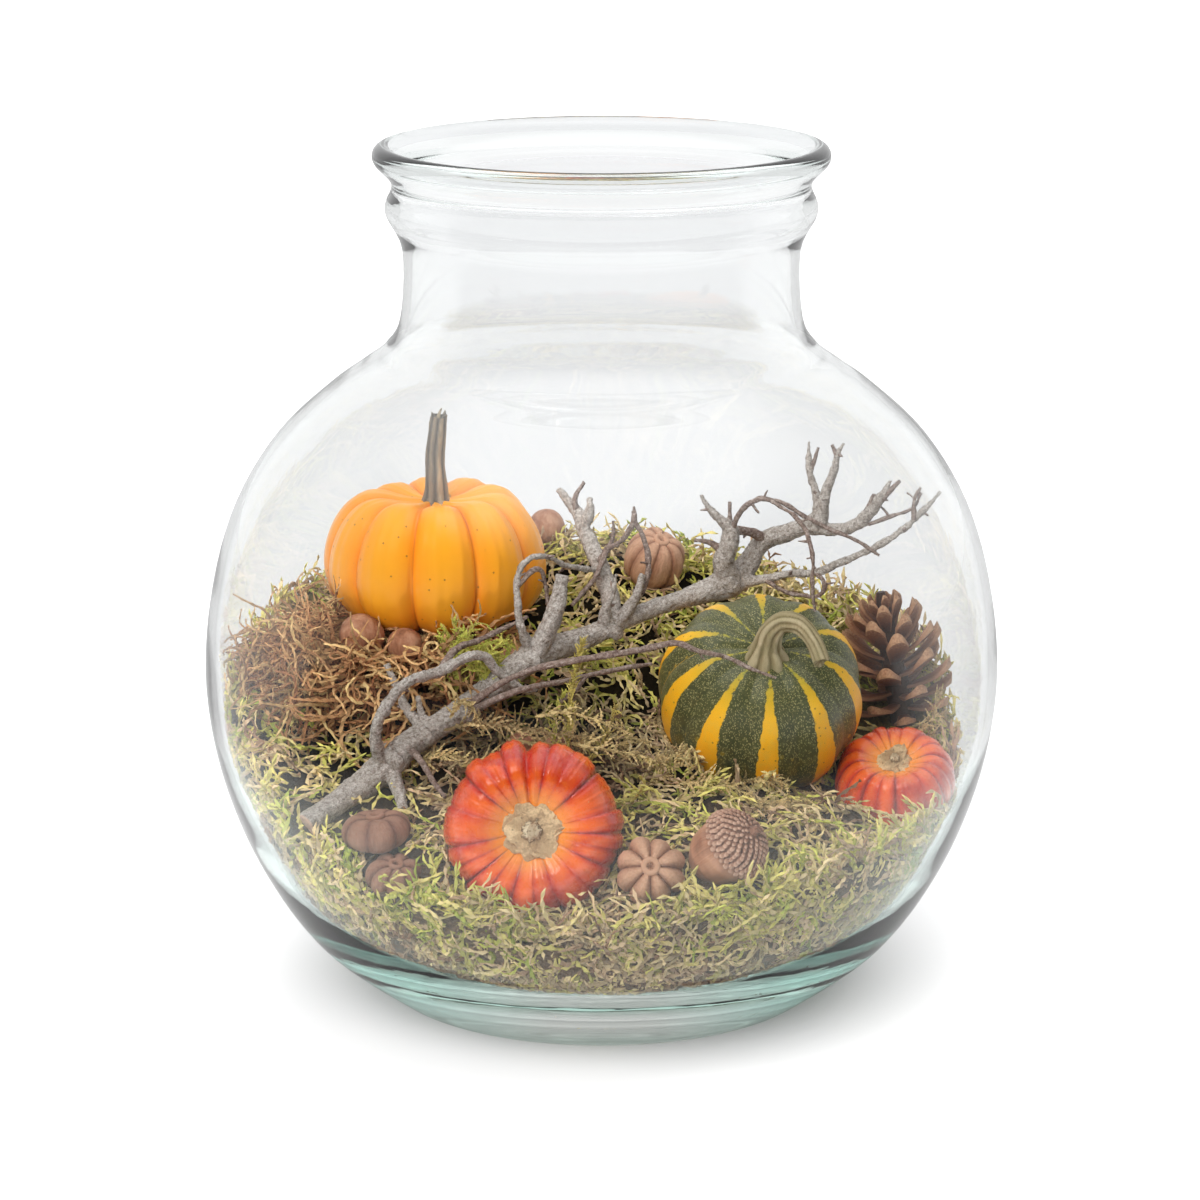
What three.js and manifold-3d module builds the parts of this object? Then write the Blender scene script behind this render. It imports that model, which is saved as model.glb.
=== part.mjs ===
// A glass globe jar filled with a sloping bed of moss, pumpkins, a gourd, ribbed fruits, a branch,
// a pine cone, an acorn, pods and nuts. Millimetres, +Z up, the jar's axis on Z, its foot on z = 0, the viewer at -Y.
import * as THREE from 'three';
import Module from 'manifold-3d';

const wasm = await Module();
wasm.setup();

// ---- driving dimensions ----

const GAP = 0.3;                       // what touching pieces keep between them
const JAR_SIDES = 36;

// The jar's outside from the foot to the rim's crest, as [height, radius].
const JAR_OUTSIDE = [
  [0, 76], [4, 81.5], [10, 89.5], [20, 101], [36, 112.8], [58, 124], [84, 132], [112, 135], [142, 131.6],
  [168, 123.6], [190, 110], [207, 92.5], [218, 75], [229, 66.8], [254, 66.5], [267, 72.2], [276, 69.8],
  [283, 75.6], [287, 75.8], [289, 73],
];

// The jar's inside from the rim down to the floor of its thick base.
const JAR_INSIDE = [
  [287.6, 69.6], [282, 67.2], [276, 66.6], [266, 68.4], [254, 63.4], [229, 63.6], [219.5, 70.5], [206, 89.5],
  [188, 107.5], [166, 121.2], [141, 128.8], [112, 131.9], [84, 128.8], [57, 119.5], [35, 106.5], [20, 90],
  [14.5, 70],
];
const JAR_FLOOR = 14.5;

// The moss bed slopes up to the back, with hills and dips as [x, y, half width x, half width y, rise].
const BED_LEVEL = 97;
const BED_SLOPE = 0.31;
const BED_FORMS = [
  [8, 82, 50, 38, 14],
  [80, 88, 38, 42, -12],
  [105, 5, 60, 60, -24],
  [-15, -108, 38, 22, -11],
  [-118, 0, 30, 50, 6],
  [-42, -26, 13, 11, -9],
  [10, 12, 30, 22, 6],
  [10, 128, 100, 32, -18],
  [96, -54, 26, 22, -8],
];
const BED_RELIEF = 2;
const BED_STRANDS = 118;

const ORANGE = {
  radius: 38.4, height: 22.5, ribs: 10, perRib: 4, rings: 8, groove: 0.1, squareness: 0.62, dimple: 5,
  at: [-57.5, 20, 143.6], tilt: 0, lean: 0, spin: 8,
};
const GOURD = {
  radius: 35, height: 26.5, ribs: 10, perRib: 4, rings: 8, groove: 0.045, squareness: 0.7, dimple: 3,
  at: [53.8, -14, 103.4], tilt: 37, lean: 3, spin: 4,
};
const FRUIT_FRONT = {
  radius: 28.6, height: 17.5, ribs: 20, perRib: 2, rings: 7, groove: 0.075, squareness: 0.62, dimple: 7,
  at: [-22, -86, 78.3], tilt: 75, lean: -4, spin: 0,
};
const FRUIT_RIGHT = {
  radius: 20.9, height: 13.2, ribs: 16, perRib: 2, rings: 6, groove: 0.075, squareness: 0.62, dimple: 4.5,
  at: [100, -20.5, 73.4], tilt: 24, lean: -6, spin: 0,
};

const FRONT_CALYX = { reach: 10.5, points: 7, low: 12, high: 16.3, stub: 2.2 };
const RIGHT_CALYX = { reach: 7, points: 6, low: 9.6, high: 12.6, stub: 1.7 };

// Small ribbed pods and plain nuts, each lying with its axis tipped towards the viewer and to one side.
const POD = { ribs: 8, perRib: 2, groove: 0.13 };
const PODS = {
  pod_front: { ...POD, radius: 11.2, height: 9.4, at: [15.5, -100, 68.7], tilt: 62, lean: 0 },
  pod_left: { ...POD, radius: 11, height: 6.6, ribs: 7, at: [-72.6, -79, 75.5], tilt: 12, lean: -6 },
  pod_low_left: { ...POD, radius: 9, height: 5.4, ribs: 7, at: [-66.5, -88, 63], tilt: 20, lean: 8 },
  pod_back: { ...POD, radius: 10.7, height: 9.2, at: [18.7, 64, 132.9], tilt: 25, lean: 20 },
};
const NUTS = {
  nut_1: { radius: 7.8, at: [-81, -13, 123.6] },
  nut_2: { radius: 6, at: [-66.4, -15.5, 121] },
  nut_3: { radius: 7, at: [-20, 84, 139.3] },
  nut_4: { radius: 5, at: [-31.6, -5, 112.3] },
  nut_5: { radius: 6, at: [-27, -35, 89.6] },
  nut_6: { radius: 5, at: [-14.6, -34, 89.8] },
};

const ACORN = { radius: 10.9, height: 13.2, at: [38.6, -97, 74.1], tilt: 38, lean: 40 };
const ACORN_CAP = { radius: 12.8, depth: 11, wall: 1.7, scaleRows: 3, scalesPerRow: 8 };

const CONE = { base: [107, 28, 81.5], top: [97, 28, 131], core: 5.6, scales: 32, reach: 22.5 };

// The branch and its twigs, each a line of [x, y, z, radius], rooted inside what it grows from.
const BRANCH = [
  [-97, -62, 73, 3.8], [-86, -58, 79, 4.1], [-72, -50, 88, 5.3], [-65, -47, 94, 4.8], [-51, -38, 101, 4.3],
  [-36, -29, 110, 4.5], [-23, -20, 118, 4.9], [-5, -8, 122, 3.9], [18, 6, 129, 3.1], [34, 15, 132, 4],
  [45, 21, 135, 5.9],
];
const TWIGS = {
  knotStub: [[-70, -49, 89, 3], [-67, -57, 83, 2.3], [-65, -63, 78, 1.6]],
  rootlet: [[-64, -47, 94, 1.6], [-59, -57, 92, 1], [-55, -62, 87, 0.9], [-51, -66, 83, 0.6]],
  sawnLimb: [[-24, -21, 117, 4], [-19, -22, 126, 3.4], [-15, -21, 136, 3], [-13, -19, 147, 2.3]],
  archLimb: [[-72, -50, 88, 2.8], [-74, -58, 102, 1.9], [-71, -60, 111, 1.8], [-65, -57, 118, 1.8],
    [-53, -49, 121, 1.8], [-40, -41, 124, 1.7], [-34, -37, 117, 1.5], [-25, -36, 111, 1.2],
    [-18, -36, 113, 0.8]],
  stubLow: [[-58, -42, 98, 2.2], [-65, -38, 105, 1.7], [-68, -34, 111, 1.5], [-72, -30, 118, 1.3]],
  stubMid: [[-57, -42, 99, 2], [-60, -41, 105, 1.3], [-61, -40, 110, 0.9]],
  darkTwig: [[-53, -49, 121, 1.2], [-48, -40, 126, 1.2], [-41, -32, 127, 1], [-34, -26, 129, 0.9],
    [-25, -19, 132, 0.7]],
  loopTwig: [[-23, -21, 119, 2.4], [-27, -26, 131, 1.5], [-28, -25, 139, 1.2], [-28, -23, 147, 1.1],
    [-25, -21, 152, 1.1], [-19, -15, 152, 1], [-12, -6, 147, 1], [-5, 2, 144, 1], [0, 10, 141, 0.9]],
  loopInner: [[-28, -24, 144, 0.8], [-21, -20, 149, 0.8], [-19, -18, 144, 0.7], [-18, -17, 136, 0.6]],
  limbMid: [[3, -5, 123, 3.2], [3, 5, 133, 3.3], [0, 13, 141, 3.1], [-3, 17, 147, 2.9], [-6, 22, 153, 2.4],
    [-9, 26, 159, 2.1], [-15, 28, 165, 0.9]],
  limbMidTip: [[-9, 25, 159, 1.3], [-9, 25, 163, 0.9], [-6, 24, 168, 0.6]],
  limbMidKnob: [[-6, 22, 154, 2.1], [-4, 21, 160, 1.7], [-4, 21, 164, 1]],
  sprayUp: [[-1, 14, 142, 1.4], [2, 9, 149, 1], [6, 6, 152, 0.9], [9, 4, 156, 0.8], [11, 3, 160, 0.9],
    [11, 3, 165, 0.5]],
  sprayDown: [[2, 9, 149, 0.9], [-2, 3, 141, 0.9], [-6, -2, 137, 0.8], [-10, -6, 133, 0.6]],
  sprayThin: [[2, 9, 148, 0.8], [4, 8, 154, 0.7], [4, 8, 159, 0.4]],
  sprayOuter: [[11, 3, 160, 0.8], [14, 3, 155, 0.9], [16, 2, 146, 1], [15, 1, 139, 1], [12, 1, 133, 0.9],
    [9, 1, 127, 0.9]],
  crotchTwig: [[1, -5, 124, 2.9], [2, -8, 133, 1.7], [4, -9, 139, 1], [5, -10, 145, 0.6]],
  crotchStub: [[5, -3, 125, 2.4], [12, -2, 136, 1.7], [14, -1, 143, 1.1]],
  limbUp: [[45, 20, 134, 4.8], [42, 16, 143, 3.8], [44, 15, 150, 3.4], [44, 15, 155, 2.7], [41, 14, 158, 1.7],
    [37, 13, 162, 1.2], [34, 12, 167, 0.6]],
  limbUpSpur: [[44, 15, 153, 1.6], [44, 15, 158, 0.9], [44, 15, 164, 0.5]],
  limbUpSide: [[43, 16, 146, 1.8], [37, 15, 150, 0.9], [32, 14, 151, 0.6]],
  limbRight: [[46, 21, 134, 5], [51, 24, 141, 3.8], [56, 25, 148, 3.3], [63, 24, 151, 3.1],
    [70, 22, 154, 2.8], [77, 20, 159, 2.6]],
  crossTwig: [[44, 15, 154, 1.7], [50, 19, 153, 1.4], [57, 25, 149, 2]],
  antlerFront: [[76, 20, 158, 2.4], [77, 17, 167, 1.7], [80, 15, 175, 1.4], [81, 14, 180, 1.1],
    [83, 13, 184, 0.5]],
  antlerFork: [[81, 14, 179, 0.9], [79, 14, 183, 0.5]],
  antlerBack: [[75, 21, 157, 2.1], [74, 22, 165, 1.6], [72, 24, 172, 1.2], [72, 26, 182, 0.5]],
  antlerBackFork: [[72, 24, 171, 0.9], [75, 24, 180, 0.4]],
  spurRight: [[71, 22, 154, 2.4], [80, 17, 154, 2.1], [86, 13, 156, 2.1], [91, 9, 161, 2], [95, 5, 168, 1.6],
    [98, 3, 174, 0.6]],
  spurFork: [[95, 5, 167, 1.4], [101, 2, 174, 0.6]],
  spurKnob: [[90, 10, 160, 1.5], [93, 8, 168, 0.7]],
  spurThin: [[85, 13, 156, 1], [92, 9, 158, 0.6], [98, 6, 161, 0.6], [106, 3, 165, 0.5], [108, 1, 170, 0.5]],
  longTwig: [[48, 21, 135, 2.4], [56, 16, 137, 1.7], [65, 12, 140, 1.4], [73, 9, 141, 1.4], [83, 6, 146, 1.3],
    [93, 4, 151, 1.2], [103, 2, 158, 1.1], [109, 1, 164, 0.9], [115, 0, 171, 0.5]],
  longTwigTip: [[106, 1, 161, 0.9], [106, 1, 168, 0.6], [108, 1, 172, 0.4]],
  ringTwig: [[57, 15, 137, 1], [61, 10, 135, 0.8], [68, 4, 134, 0.7], [75, 2, 135, 0.7], [76, 3, 138, 0.7],
    [73, 9, 141, 0.8]],
  vine: [[45, 15, 154, 1], [47, 10, 161, 0.9], [51, 5, 166, 0.9], [55, 1, 168, 0.8], [61, -3, 166, 0.7],
    [67, -7, 162, 0.7], [70, -10, 156, 0.7], [71, -11, 151, 0.6], [71, -12, 141, 0.6], [72, -12, 132, 0.5]],
  vineSide: [[54, 2, 168, 0.8], [61, 0, 167, 0.7], [68, -1, 163, 0.7], [76, -2, 159, 0.6], [86, -3, 155, 0.6],
    [94, -4, 150, 0.5]],
  frontTwig: [[-46, -38, 105, 1.6], [-29, -42, 117, 1], [-15, -44, 122, 1.1], [6, -45, 126, 1.1],
    [16, -46, 128, 1.1], [24, -47, 130, 1], [32, -50, 128, 0.9], [40, -53, 127, 0.8], [48, -56, 124, 0.7],
    [57, -58, 121, 0.5]],
  lowTwig: [[-48, -38, 102, 1.4], [-25, -42, 113, 1], [-16, -36, 113, 0.9], [-5, -30, 114, 0.8],
    [7, -24, 115, 0.8], [17, -18, 115, 0.6]],
  lowStub: [[-5, -30, 114, 0.8], [-9, -34, 110, 0.9], [-14, -38, 107, 0.9]],
};

// Feathery moss: a curved stem of [x, y, z, radius] with side shoots that shorten to its tip.
const SPRIG_STEM = [
  [-34, -24, 84, 1.6], [-29, -25, 92, 1.3], [-16, -26, 92, 1.1], [-2, -27, 91, 1], [12, -30, 88, 0.7],
];
const PLUME_STEM = [
  [-11, -39, 84, 1.3], [-10, -39, 98, 1.2], [-9, -37, 110, 1.1], [-8, -34, 122, 0.8], [-5, -32, 128, 0.5],
];
const TUFT_STEM = [
  [-50, -27, 104, 1.6], [-49, -28, 112, 1.3], [-47, -27, 122, 1.1], [-42, -26, 132, 0.7],
];
const EDGE_STEM = [[110, 4, 70, 1.3], [113, 4, 80, 1.1], [115, 4, 90, 0.9], [117, 4, 100, 0.5]];

const TANGLE = { at: [-78, 8, 104], half: [47, 40, 17], tilt: -6, curls: 20 };

// ---- small tools ----

function seeded(start) {
  let state = start;
  return () => {
    state = (state * 1664525 + 1013904223) % 4294967296;
    return state / 4294967296;
  };
}

const degrees = THREE.MathUtils.degToRad;

// The radius of a profile at a height, along its straight stretches.
function radiusAt(profile, z) {
  const rows = [...profile].sort((a, b) => a[0] - b[0]);
  const next = rows.findIndex((row) => row[0] >= z);
  if (next === -1) {
    return rows[rows.length - 1][1];
  }
  if (next === 0) {
    return rows[0][1];
  }
  const [lowZ, lowR] = rows[next - 1];
  const [highZ, highR] = rows[next];
  return lowR + ((highR - lowR) * (z - lowZ)) / (highZ - lowZ);
}

// A ring of points round Z. Angles run anticlockwise seen from above.
function ring(sides, place) {
  return Array.from({ length: sides }, (_, i) => place((i * 2 * Math.PI) / sides, i));
}

function circle(sides, r, z) {
  return ring(sides, (a) => new THREE.Vector3(r * Math.cos(a), r * Math.sin(a), z));
}

// A closed solid over rings of points. An end of one point is a pole, and an end ring is closed flat.
function solidOver(rings) {
  const ends = [rings[0], rings[rings.length - 1]];
  const all = [...rings];
  if (ends[0].length > 1) {
    all.unshift([middleOf(ends[0])]);
  }
  if (ends[1].length > 1) {
    all.push([middleOf(ends[1])]);
  }
  const starts = [];
  const points = [];
  for (const row of all) {
    starts.push(points.length);
    points.push(...row);
  }
  const faces = [];
  for (let k = 0; k < all.length - 1; k += 1) {
    const count = Math.max(all[k].length, all[k + 1].length);
    for (let i = 0; i < count; i += 1) {
      const j = (i + 1) % count;
      const low = starts[k];
      const high = starts[k + 1];
      if (all[k].length === 1) {
        faces.push([low, high + j, high + i]);
      } else if (all[k + 1].length === 1) {
        faces.push([low + i, low + j, high]);
      } else {
        faces.push([low + i, low + j, high + j], [low + i, high + j, high + i]);
      }
    }
  }
  return new wasm.Manifold(new wasm.Mesh({
    numProp: 3,
    vertProperties: new Float32Array(points.flatMap((p) => [p.x, p.y, p.z])),
    triVerts: new Uint32Array(faces.flat()),
  }));
}

function middleOf(points) {
  const sum = points.reduce((total, p) => total.add(p), new THREE.Vector3());
  return sum.divideScalar(points.length);
}

function joined(solids) {
  return solids.reduce((whole, next) => whole.add(next));
}

// The largest body of a solid, so that no loose scrap stays.
function largest(solid) {
  return solid.decompose().sort((a, b) => b.volume() - a.volume())[0];
}

// A solid turned about Z, tipped towards the viewer, leaned to the right and set in its place.
function placed(solid, { at, tilt = 0, lean = 0, spin = 0 }) {
  return solid.rotate([0, 0, spin]).rotate([tilt, 0, 0]).rotate([0, lean, 0]).translate(at);
}

function mesh(name, solid, color, roughness, metalness = 0) {
  const { numProp, vertProperties, triVerts } = solid.getMesh();
  const geometry = new THREE.BufferGeometry();
  const positions = new Float32Array((vertProperties.length / numProp) * 3);
  for (let i = 0; i * numProp < vertProperties.length; i += 1) {
    positions.set(vertProperties.subarray(i * numProp, i * numProp + 3), i * 3);
  }
  geometry.setAttribute('position', new THREE.BufferAttribute(positions, 3));
  geometry.setIndex(new THREE.BufferAttribute(new Uint32Array(triVerts), 1));
  geometry.computeVertexNormals();
  const part = new THREE.Mesh(geometry, new THREE.MeshStandardMaterial({ color, roughness, metalness }));
  part.name = name;
  return part;
}

// ---- the jar ----

function turned(profile, sides) {
  return solidOver(profile.map(([z, r]) => (
    r === 0 ? [new THREE.Vector3(0, 0, z)] : circle(sides, r, z)
  )));
}

function glassJar() {
  return turned([[0, 0], ...JAR_OUTSIDE, ...JAR_INSIDE, [JAR_FLOOR, 0]], JAR_SIDES);
}

// How far from the axis the filling may reach at a height.
function fillRadius(z) {
  return radiusAt(JAR_INSIDE, z - GAP) - GAP;
}

// The space that the filling has, up to the neck.
function cavity() {
  const heights = [15, 20.4, 35.4, 57.4, 84.4, 112.4, 141, 166, 188, 205];
  return turned([[15, 0], ...heights.map((z) => [z, fillRadius(z) - 0.1]), [205, 0]], JAR_SIDES);
}

// ---- ribbed fruits, pods and nuts ----

// A flattened body of lobes between grooves that run from end to end, with a dimple at both ends.
function ribbedBody({ radius, height, ribs, perRib, rings = 5, groove = 0.1, squareness = 0.8, dimple = 0 },
  growOut = 0, growUp = growOut) {
  const rises = Array.from({ length: rings }, (_, k) => (-0.5 + (k + 0.6) / (rings + 0.2)) * Math.PI);
  const profile = (rise) => {
    const sink = (dimple / height) * Math.exp(-((Math.cos(rise) / 0.34) ** 2));
    return Math.sin(rise) - Math.sign(rise) * sink;
  };
  const crown = Math.max(...rises.map(profile));
  const point = (angle, rise, lobe) => {
    const r = (radius + growOut) * Math.cos(rise) ** squareness * lobe;
    const z = ((height * profile(rise)) / crown) * lobe + growUp * Math.sin(rise);
    return new THREE.Vector3(r * Math.cos(angle), r * Math.sin(angle), z);
  };
  const rows = rises.map((rise) => ring(ribs * perRib, (angle) => (
    point(angle, rise, 1 - groove * (1 - Math.abs(Math.sin((ribs * angle) / 2))))
  )));
  const pole = (side) => [new THREE.Vector3(0, 0, point(0, (side * Math.PI) / 2, 1).z)];
  return solidOver([pole(-1), ...rows, pole(1)]);
}

function ribbedFruit(fruit, grow = 0) {
  return placed(ribbedBody(fruit, grow), fruit);
}

// The plain hollow that a ribbed piece lies in.
function hollowOf(piece) {
  const plain = { ...piece, ribs: 7, perRib: 2, groove: 0 };
  return placed(ribbedBody(plain, GAP + 0.028 * piece.radius, GAP), piece);
}

// The plain hollow that a nut or the cone lies in.
function roundHollow(piece) {
  const { radius, height = radius } = piece;
  const rows = [-60, -30, 0, 30, 60].map((rise) => (
    circle(12, (radius + GAP) * 1.03 * Math.cos(degrees(rise)), (height + GAP) * Math.sin(degrees(rise)))
  ));
  const poles = [-height - GAP, height + GAP].map((z) => [new THREE.Vector3(0, 0, z)]);
  return placed(solidOver([poles[0], ...rows, poles[1]]), piece);
}

function nutBody({ radius, at }) {
  const rows = [-50, 0, 50].map((rise) => (
    circle(9, radius * Math.cos(degrees(rise)), radius * Math.sin(degrees(rise)))
  ));
  const poles = [-radius, radius].map((z) => [new THREE.Vector3(0, 0, z)]);
  return solidOver([poles[0], ...rows, poles[1]]).rotate([35, 20, 0]).translate(at);
}

// ---- stems, limbs and twigs ----

function smoothLine(line) {
  const points = line.map(([x, y, z]) => new THREE.Vector3(x, y, z));
  return new THREE.CatmullRomCurve3(points, false, 'centripetal');
}

// A tapering limb along a smooth line, flat where it is cut and pointed at its tip.
function limb(line, sides, { grow = 0, flatTip = false, fluted = 0 } = {}) {
  const curve = smoothLine(line);
  const last = line.length - 1;
  let side = new THREE.Vector3(0.31, 0.2, 0.93);
  const rows = line.map(([, , , radius], k) => {
    const along = curve.getTangent(k / last);
    side = side.clone().addScaledVector(along, -side.dot(along)).normalize();
    const across = new THREE.Vector3().crossVectors(along, side);
    const centre = curve.getPoint(k / last);
    return ring(sides, (a, i) => {
      const r = (radius + grow) * (i % 2 ? 1 - fluted : 1);
      return centre.clone().addScaledVector(side, r * Math.cos(a)).addScaledVector(across, r * Math.sin(a));
    });
  });
  if (!flatTip) {
    const tip = curve.getPoint(1).addScaledVector(curve.getTangent(1), line[last][3] + 2 * grow + 0.4);
    rows.push([tip]);
  }
  return solidOver(rows);
}

function branch(grow = 0) {
  const twigs = Object.values(TWIGS).map((line) => {
    const thickness = line[0][3];
    return limb(line, thickness > 2.5 ? 5 : thickness > 1.3 ? 4 : 3, { grow });
  });
  return joined([limb(BRANCH, 6, { grow, flatTip: true }), ...twigs]);
}

// ---- moss ----

function bedTop(x, y) {
  const forms = BED_FORMS.map(([cx, cy, wx, wy, rise]) => (
    rise * Math.exp(-(((x - cx) / wx) ** 2) - ((y - cy) / wy) ** 2)
  ));
  return BED_LEVEL + BED_SLOPE * y + forms.reduce((sum, rise) => sum + rise, 0);
}

function relief(x, y) {
  const across = Math.sin(x * 0.23 + 1.7 * Math.sin(y * 0.13));
  const along = Math.sin(y * 0.29 + 1.9 * Math.sin(x * 0.11));
  return BED_RELIEF * (across + along);
}

// Where the bed's top meets the glass, in a direction from the axis.
function bedEdge(angle) {
  let r = 120;
  let z = 0;
  for (let turn = 0; turn < 8; turn += 1) {
    z = bedTop(r * Math.cos(angle), r * Math.sin(angle));
    r = fillRadius(z);
  }
  return { r, z };
}

// A straight three-sided spike.
function spike(start, end, thick) {
  const along = end.clone().sub(start).normalize();
  const side = new THREE.Vector3(0.3, 0.1, 0.95).cross(along).normalize().multiplyScalar(thick);
  const foot = [0, 120, 240].map((turn) => (
    start.clone().add(side.clone().applyAxisAngle(along, degrees(turn)))
  ));
  return solidOver([foot, [end]]);
}

// A pointed strand of three sides that leans in its own direction, its root sunk.
function strand(root, lean, turn, length, thick) {
  const along = new THREE.Vector3(
    Math.sin(lean) * Math.cos(turn),
    Math.sin(lean) * Math.sin(turn),
    Math.cos(lean),
  );
  return spike(root.clone().addScaledVector(along, -2.5), root.clone().addScaledVector(along, length), thick);
}

function underTangle(x, y) {
  return ((x - TANGLE.at[0]) / TANGLE.half[0]) ** 2 + ((y - TANGLE.at[1]) / TANGLE.half[1]) ** 2 < 1.05;
}

function mossBed() {
  const low = JAR_FLOOR + GAP + 0.1;
  const edge = ring(JAR_SIDES, (angle) => ({ angle, ...bedEdge(angle) }));
  const sides = [0.07, 0.2, 0.38, 0.58, 0.8].map((t) => edge.map(({ angle, z }, i) => {
    const height = low + t * (z - low);
    const r = fillRadius(height) - 0.2 - (t > 0.1 ? 1 + Math.sin(i * 2.1 + t * 19) : 0);
    return new THREE.Vector3(r * Math.cos(angle), r * Math.sin(angle), height);
  }));
  const tops = [0.995, 0.9, 0.78, 0.65, 0.52, 0.39, 0.26, 0.13].map((t) => edge.map(({ angle, r }, i) => {
    const reach = t * r - (t > 0.99 ? 0.4 : 0);
    const x = reach * Math.cos(angle);
    const y = reach * Math.sin(angle);
    const ripple = t > 0.99 ? 0 : relief(x, y) + (underTangle(x, y) ? 0 : 2.4 * Math.sin(i * 2.6 + t * 31));
    return new THREE.Vector3(x, y, bedTop(x, y) + ripple);
  }));
  const floor = ring(JAR_SIDES, (a) => new THREE.Vector3(67 * Math.cos(a), 67 * Math.sin(a), low));
  const middle = new THREE.Vector3(0, 0, bedTop(0, 0));
  const body = solidOver([[new THREE.Vector3(0, 0, low)], floor, ...sides, ...tops, [middle]]);
  const random = seeded(11);
  const strands = [];
  while (strands.length < BED_STRANDS) {
    const reach = 124 * Math.sqrt(random());
    const turn = 2 * Math.PI * random();
    const x = reach * Math.cos(turn);
    const y = reach * Math.sin(turn);
    const lean = 0.3 + 0.9 * random();
    const way = 2 * Math.PI * random();
    const length = 7 + 6 * random();
    if (!underTangle(x, y)) {
      strands.push(strand(new THREE.Vector3(x, y, bedTop(x, y)), lean, way, length, 1.1));
    }
  }
  return joined([body, ...strands]);
}

// Dry curly moss: a low mound with loose loops of thick thread standing out of it.
function dryTangle() {
  const { at, half, tilt, curls } = TANGLE;
  const rows = [-60, -25, 10, 40, 66].map((rise, k) => ring(20, (a, i) => {
    const out = Math.cos(degrees(rise)) * (1 + 0.07 * Math.sin(i * 2.4 + k * 1.9));
    const up = Math.sin(degrees(rise)) + 0.06 * Math.sin(i * 3.3 + k * 2.7);
    return new THREE.Vector3(half[0] * out * Math.cos(a), half[1] * out * Math.sin(a), half[2] * up);
  }));
  const poles = [-half[2], half[2]].map((z) => [new THREE.Vector3(0, 0, z)]);
  const body = solidOver([poles[0], ...rows, poles[1]]).rotate([0, -tilt, 0]).translate(at);
  const random = seeded(29);
  const loops = Array.from({ length: curls }, () => {
    const turn = 2 * Math.PI * random();
    const rise = Math.asin(0.1 + 0.85 * random());
    const foot = new THREE.Vector3(
      at[0] + half[0] * Math.cos(rise) * Math.cos(turn) * 0.93,
      at[1] + half[1] * Math.cos(rise) * Math.sin(turn) * 0.93,
      at[2] + half[2] * Math.sin(rise) * 0.93,
    );
    const way = 2 * Math.PI * random();
    const span = 5 + 6 * random();
    const lift = 4 + 5 * random();
    const step = new THREE.Vector3(Math.cos(way), Math.sin(way), 0).multiplyScalar(span);
    const line = [[0, -2, 1.2], [0.3, 0.8 * lift, 1.1], [1.2, lift, 0.9], [1.7, 0.1 * lift, 0.6]];
    return limb(line.map(([t, z, r]) => [foot.x + step.x * t, foot.y + step.y * t, foot.z + z, r]), 3);
  });
  return joined([body, ...loops]);
}

// A stem with pairs of side shoots, as on feather moss.
function featherSprig(stem, { pairs, reach, lean, flat }) {
  const curve = smoothLine(stem);
  const shoots = [];
  for (let k = 0; k < pairs; k += 1) {
    const t = 0.14 + (0.8 * k) / pairs;
    const root = curve.getPoint(t);
    const along = curve.getTangent(t);
    const across = new THREE.Vector3().crossVectors(flat, along).normalize();
    const length = reach * (1 - 0.6 * t);
    for (const hand of [-1, 1]) {
      const end = root.clone().addScaledVector(across, hand * length * Math.cos(lean));
      end.addScaledVector(along, length * Math.sin(lean));
      shoots.push(spike(root.clone().addScaledVector(across, -hand * 0.3), end, 0.9));
    }
  }
  return joined([limb(stem, 4), ...shoots]);
}

// ---- pine cone and acorn ----

function pineCone() {
  const base = new THREE.Vector3(...CONE.base);
  const axis = new THREE.Vector3(...CONE.top).sub(base);
  const height = axis.length();
  const { core: girth } = CONE;
  const core = turned([
    [0, 0], [0, 5], [8, girth], [0.6 * height, girth * 0.8], [height - 3, 2], [height, 0],
  ], 8);
  const scales = Array.from({ length: CONE.scales }, (_, k) => {
    const t = (k + 0.5) / CONE.scales;
    const reach = CONE.reach * (0.72 + 1.15 * t - 1.65 * t * t);
    const wide = 6.6 * (1 - 0.55 * t);
    const rise = degrees(-8 + 62 * t);
    const [cos, sin] = [Math.cos(rise), Math.sin(rise)];
    const outline = [
      [1, 0], [reach * 0.8, -wide], [reach, -0.35 * wide], [reach, 0.35 * wide], [reach * 0.8, wide],
    ];
    const curl = (x) => 2.6 * (x / reach) ** 2;
    const face = (lift) => outline.map(([x, y]) => {
      const up = curl(x) + lift * (x > 3 ? 1 : 0.7);
      return new THREE.Vector3(x * cos - up * sin, y, x * sin + up * cos);
    });
    return solidOver([face(-0.9), face(0.9)])
      .rotate([0, 0, k * 137.5])
      .translate([0, 0, 3 + t * (height - 12)]);
  });
  const whole = joined([core, ...scales]);
  const turn = new THREE.Quaternion().setFromUnitVectors(new THREE.Vector3(0, 0, 1), axis.normalize());
  const matrix = new THREE.Matrix4().compose(base, turn, new THREE.Vector3(1, 1, 1));
  return whole.transform(matrix.elements);
}

function acornNut(grow = 0) {
  const { radius, height } = ACORN;
  const profile = [
    [-1, 0], [-0.92, 0.16], [-0.78, 0.5], [-0.35, 0.9], [0.1, 1], [0.5, 0.86], [0.82, 0.5], [0.96, 0],
  ];
  return placed(turned(profile.map(([z, r]) => [z * (height + grow), r * (radius + grow)]), 14), ACORN);
}

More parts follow.
